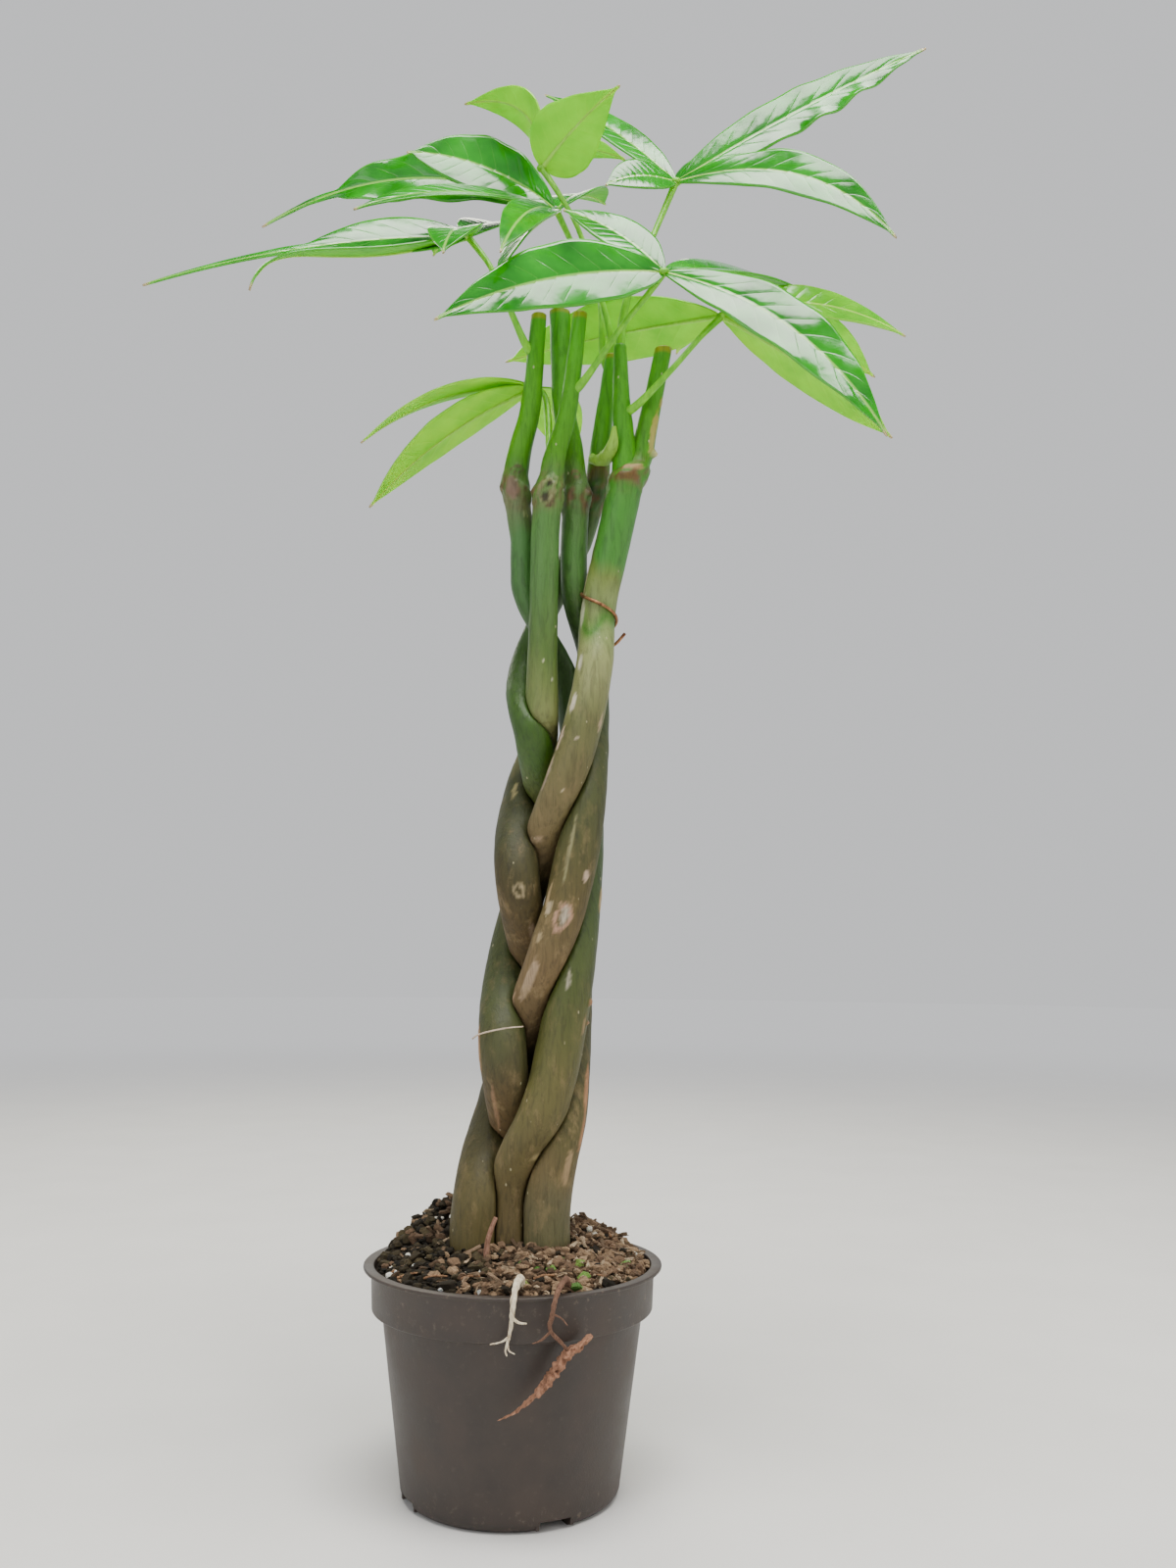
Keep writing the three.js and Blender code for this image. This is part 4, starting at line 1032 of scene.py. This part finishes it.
def make_leaves():
    green, rib = stalk("leaf_stalk", "58a810", "86d21e"), stalk("leaf_rib", "90d430", "aae24e")
    old = (leaf_top("leaf_top", "0a6a04", "1c9c08", "94cc58", "52b81a"),
           leaf_under("leaf_underside", "46b000", "62ca00", "98e020"))
    young = (leaf_top("young_leaf_top", "40ac06", "78d010", "bce85a", "9ce420"),
             leaf_under("young_leaf_underside", "7ad600", "a0ee00", "c0f230"))
    for leaf in LEAVES:
        make_leaf(leaf, *(young if leaf["young"] else old), green, rib)


# Soil

def soil_height(x, y):
    fade = 1 - (np.hypot(x, y) / DOME_RADIUS) ** 2
    height = SOIL_EDGE_HEIGHT + SOIL_DOME * fade
    for middle_x, middle_y, tall, spread in HEAPS:
        height = height + tall * np.exp(-((x - middle_x) ** 2 + (y - middle_y) ** 2) / (2 * spread ** 2))
    lumps = 0.9 * np.sin(0.75 * x + 1.3) * np.sin(0.7 * y) + 0.7 * np.sin(1.1 * x - 0.9 * y)
    return height + lumps * np.minimum(1, 3 * fade)


def make_soil_bed():
    angles = np.linspace(0, 2 * pi, BED_COLUMNS, endpoint=False)
    radii = SOIL_RADIUS * np.linspace(1, 0, BED_ROWS) ** 0.9
    rings = []
    for radius in radii:
        x, y = radius * np.cos(angles), radius * np.sin(angles)
        rings.append(np.stack([x, y, soil_height(x, y)], axis=1))
    rings = np.array(rings)
    fade = np.minimum(1, radii / 4)[:, None] * np.minimum(1, (SOIL_RADIUS - radii) / 2)[:, None]
    rings[..., 2] += fade * (0.9 * grain(rings, 4, 1) + 0.7 * grain(rings, 1.7, 2)) - 0.5
    skirt = rings[0].copy()
    skirt[:, :2] *= BED_SKIRT
    skirt[:, 2] = SOIL_EDGE_HEIGHT - BED_DEPTH
    bottom = skirt * [0, 0, 1]
    bed = rolled("soil_bed", np.concatenate([bottom[None], skirt[None], rings]))
    finish_piece(bed, "potting_soil", "soil", peat())


def grain_shape(kind):
    """One loose grain about a millimetre across, as points and triangles."""
    pick_nothing()
    if kind == "chunk":
        bpy.ops.mesh.primitive_cube_add(size=1)
        in_edit_mode(lambda: bpy.ops.mesh.bevel(offset=0.2, segments=1))
    elif kind == "splinter":
        bpy.ops.mesh.primitive_cylinder_add(vertices=6, radius=0.5, depth=1)
        in_edit_mode(lambda: bpy.ops.mesh.bevel(offset=0.12, segments=1))
    else:
        bpy.ops.mesh.primitive_ico_sphere_add(subdivisions=2 if kind == "bead" else 1, radius=0.5)
    piece = bpy.context.object
    points = np.array([v.co for v in piece.data.vertices])
    faces = [list(face.vertices) for face in piece.data.polygons]
    bpy.data.objects.remove(piece)
    return points, faces


def turned(points):
    """The points under a random turn."""
    a, b, c = draws.uniform(0, 2 * pi, 3)
    turn = Matrix.Rotation(a, 3, "Z") @ Matrix.Rotation(b, 3, "X") @ Matrix.Rotation(c, 3, "Y")
    return points @ np.array(turn)


def scatter(name, kind, count, sizes, proportions, where, sink, finish, lying=0.6):
    """Grains strewn over the soil between the stems: where(x, y) is the chance that one stays at a place."""
    base, faces = grain_shape(kind)
    points, polygons, shades = [], [], []
    placed = 0
    while placed < count:
        radius = STREWN_RADIUS * draws.random() ** 0.5
        angle = draws.uniform(0, 2 * pi)
        x, y = radius * cos(angle), radius * sin(angle)
        size = draws.uniform(*sizes)
        chance = where(x, y) if clear_of_stems(x, y) else 0.0
        if draws.random() > chance or radius + size * 0.35 > STREWN_EDGE:
            continue
        shape = base * proportions * (1 + draws.uniform(-0.25, 0.25, 3)) * size
        shape = shape + draws.uniform(-0.07, 0.07, shape.shape) * size
        shape = turned(shape)
        shape[:, 2] *= lying
        height = float(soil_height(x, y)) - STREWN_DROP + size * lying * (0.5 - sink)
        first = placed * len(base)
        points.append(shape + [x, y, height])
        polygons += [[first + i for i in face] for face in faces]
        shades.append(np.full(len(base), draws.random()))
        placed += 1
    mesh = bpy.data.meshes.new(name)
    mesh.from_pydata((np.concatenate(points) * MM).tolist(), [], polygons)
    piece = added(name, mesh)
    add_values(piece, {"shade": np.concatenate(shades)})
    pick(piece)
    in_edit_mode(lambda: bpy.ops.mesh.normals_make_consistent(inside=False))
    finish_piece(piece, None, "soil", finish)


def clear_of_stems(x, y):
    z = float(soil_height(x, y))
    return all(hypot(*(stem_centre(stem, z) - [x, y])) > stem_radius(stem, z) - 0.5 for stem in STEMS)


def make_grains():
    def right_side(x, y):
        return float(smooth_step(x - 0.3 * y, -12, 16))

    def mostly_right(x, y):
        return 0.12 + 0.88 * right_side(x, y)

    # Painted shade: dark grains are kept mostly on the left, and their dark colours stand in for the shadow
    # over the left of the soil.
    def painted_shade_left(x, y):
        return 1.0 - 0.75 * right_side(x, y)

    def front_right(x, y):
        return float(smooth_step(x, -4, 8)) * float(smooth_step(-y, 4, 20))

    # Peat crumbs: dark peat, darkened further as painted shade where they gather on the left.
    scatter("peat_crumbs", "crumb", 1900, (1.2, 3.2), (1, 1, 1), painted_shade_left, 0.2,
            crumb("peat_crumb", "100d07", "201a10", "342c1a"))
    scatter("coir_chunks", "chunk", 1000, (1.6, 4.2), (1.2, 0.8, 0.6), mostly_right, 0.1,
            crumb("coir_chunk", "3c2e20", "705844", "a08668"), 0.75)
    scatter("coir_splinters", "splinter", 420, (2.2, 6), (0.24, 0.24, 1.3), mostly_right, 0.0,
            crumb("coir_splinter", "4c3c2c", "86705a", "b8a488"), 0.7)
    scatter("perlite_grains", "bead", 70, (1.3, 2.9), (1, 0.9, 0.85), lambda x, y: 1.0, 0.0,
            crumb("perlite", "bdb4a2", "ddd8cc", "f0ece2", glow=0.15), 0.9)
    scatter("green_chips", "chunk", 16, (2.4, 4.6), (1.1, 0.9, 0.7), front_right, -0.1,
            crumb("green_chip", "34561e", "5e8a36", "8a9648", roughness=0.55), 0.8)
    # Dark chunks on the left: painted shade, set where the soil lies in shadow.
    scatter("painted_shade_chunks", "chunk", 260, (2, 4.4), (1.1, 0.8, 0.7), painted_shade_left, 0.1,
            crumb("painted_shade_chunk", "17120a", "302818", "4e442e"), 0.8)


# Roots, stub, shred of bark, twigs and the thin fibre caught on the plait

# Each twig on the soil: its place, direction and length
TWIGS = [(-33, -27, 20, 9), (-24, -33, -8, 8), (-38, -18, 50, 7), (12, -36, 14, 7), (28, -28, -30, 8),
         (36, -10, 70, 6), (-12, -38, 5, 6), (2, 34, 40, 8), (-20, 34, -20, 7), (34, 12, 100, 7)]


def make_roots():
    cream = fibre("cream_root", "a08868", "f0e6cc")
    reddish = fibre("reddish_root", "4a342a", "80604e")
    flaky = fibre("flaky_bark", "583c2e", "a67a60", 1.6)
    pale = [
        tube("root_main", [(5, -42, 76), (4.6, -45.5, 82), (3.4, -51, 80.5), (2.9, -54, 77.5),
                           (2.4, -53.8, 72), (1.6, -52, 66), (0.4, -50.8, 61), (0.8, -50.5, 59.5)],
             (1.1, 1.3, 1.15, 0.95, 0.75, 0.5, 0.25), rows=70, rough=0.4, rough_size=1.6),
        tube("root_fork", [(2.4, -53.8, 72), (4.5, -54, 70.6), (7, -53.6, 70.2)], (0.6, 0.25), rows=16,
             sides=8, rough=0.3),
        tube("root_hair", [(1.4, -51.8, 65.5), (-1, -51.8, 64), (-4.5, -51.5, 63.2)], (0.45, 0.2), rows=16,
             sides=8, rough=0.3),
        tube("root_end", [(1.0, -51.4, 64), (1.6, -52.2, 61.5), (3.4, -52.6, 60.6)], (0.4, 0.15), rows=12,
             sides=8),
    ]
    finish_piece(joined("pale_root_strand", pale), "pale_root", "pale_root", cream)
    red = [
        tube("red_main", [(20.5, -39, 76), (19.4, -43.5, 81.5), (17.6, -49, 80.5), (16.2, -52.6, 77.8),
                          (15, -52.6, 72), (14.4, -51.4, 68), (18.4, -49.5, 63), (20.4, -48.2, 60)],
             (0.9, 1.0, 0.9, 0.8, 0.75, 0.6, 0.5), rows=70, rough=0.35, rough_size=1.5),
        tube("red_fork", [(14.4, -51.4, 67), (11.6, -51.8, 64.6), (9, -51.8, 63.6)], (0.55, 0.2), rows=16,
             sides=8, rough=0.3),
        tube("red_hair", [(15, -52.5, 73), (18, -53, 71.8), (20, -52.6, 69.5)], (0.4, 0.15), rows=14,
             sides=8),
    ]
    for part in red:
        part.data.materials.append(reddish)
    shred = tube("bark_shred", [(27.5, -46.6, 64.6), (23.5, -47.6, 61.6), (19.2, -48.6, 58.6),
                                (14.8, -48.6, 52.6), (9.6, -48.2, 46.6), (4, -47.4, 41.6),
                                (-2, -46.6, 38.4)],
                 (1.5, 2.6, 3.1, 2.6, 1.6, 0.75, 0.25), rows=110, sides=24, flatness=0.42,
                 rough=1.0, rough_size=1.3)
    shred.data.materials.append(flaky)
    finish_piece(joined("reddish_root_strand", [*red, shred]), "reddish_root", "brown_root")
    stub = tube("root_stub_shoot", [(-8.6, -22.5, 80), (-7.4, -21.8, 90), (-5.2, -20.6, 96.2)],
                (1.05, 0.95, 0.75), rows=30, sides=16, rough=0.15)
    finish_piece(stub, "root_stub", "brown_root", fibre("stub_skin", "5c3a2a", "a07c68"))
    twigs = []
    for x, y, turn, length in TWIGS:
        z = float(soil_height(x, y)) + 0.9
        step = np.array([cos(radians(turn)), sin(radians(turn)), 0.12]) * length / 2
        middle = np.array([x, y, z])
        twigs.append(tube("twig", [middle - step, middle + [0, 0, 0.5], middle + step], (0.5, 0.45, 0.3),
                          rows=14, sides=8, rough=0.3, rough_size=1.2))
    finish_piece(joined("soil_twigs", twigs), None, "brown_root", fibre("twig_bark", "4a3022", "9a7656"))
    hair = tube("caught_fibre", [(-15.2, -8, 155.5), (-12.6, -14, 157.4), (-7, -19.5, 159.2),
                                 (-1.5, -22.5, 160.4), (3.4, -23.6, 160.9)],
                (0.28, 0.3, 0.28, 0.2), rows=40, sides=8)
    finish_piece(hair, None, "pale_root", fibre("caught_fibre", "a8907a", "dcc8b2"))


# Studio: camera at the photograph's place, pale floor and soft light

CAMERA_LENS = 32.175
CAMERA_PLACE = (0.025, -0.512, 0.192)
CAMERA_TILT = 96.2
CAMERA_ROLL = 0.5
# Each lamp: its place, the point it looks at, its size, power and colour
LAMPS = [
    ("overhead_box", (0.1, -0.3, 1.45), (0.02, 0, 0.4), (0.8, 0.7), 30, "fffdf8"),
    ("front_fill", (-0.9, -1.3, 0.7), (0, 0, 0.25), (0.9, 0.9), 5, "fbfaff"),
    ("side_fill", (1.2, -0.5, 0.5), (0, 0, 0.2), (0.6, 0.9), 3, "fff4e6"),
    ("back_light", (-0.3, 1.2, 1.1), (0, 0, 0.4), (0.9, 0.6), 8, "fffbe8"),
]


def make_studio():
    bpy.ops.mesh.primitive_grid_add(x_subdivisions=2, y_subdivisions=2, size=FLOOR_SIZE)
    floor = name_piece("studio_floor")
    floor.data.materials.append(floor_paint())
    bpy.ops.mesh.primitive_cylinder_add(vertices=96, radius=BACKDROP_RADIUS, depth=BACKDROP_HEIGHT,
                                        end_fill_type="NOTHING")
    backdrop = name_piece("studio_backdrop")
    bpy.ops.object.shade_smooth()
    backdrop.data.materials.append(backdrop_paint())

    world = bpy.data.worlds.new("studio_air")
    bpy.context.scene.world = world
    world.use_nodes = True
    air = world.node_tree.nodes["Background"]
    air.inputs["Color"].default_value = colour(AIR_TONE)
    air.inputs["Strength"].default_value = ZENITH_STRENGTH

    for name, place, aim, size, power, code in LAMPS:
        data = bpy.data.lights.new(name, "AREA")
        data.shape = "RECTANGLE"
        data.size, data.size_y = size
        data.energy = power
        data.color = colour(code)[:3]
        lamp = added(name, data)
        lamp.location = place
        lamp.rotation_euler = (Vector(aim) - Vector(place)).to_track_quat("-Z", "Y").to_euler()

    data = bpy.data.cameras.new("photo_camera")
    data.lens = CAMERA_LENS
    data.clip_start, data.clip_end = 0.01, 50
    camera = added("photo_camera", data)
    camera.matrix_world = (Matrix.Translation(CAMERA_PLACE) @ Matrix.Rotation(radians(CAMERA_TILT), 4, "X")
                           @ Matrix.Rotation(radians(CAMERA_ROLL), 4, "Z"))
    bpy.context.scene.camera = camera


make_pot()
make_soil_bed()
make_grains()
make_stems()
make_wire()
make_leaves()
make_roots()
make_studio()

pick_nothing()
bpy.context.view_layer.update()
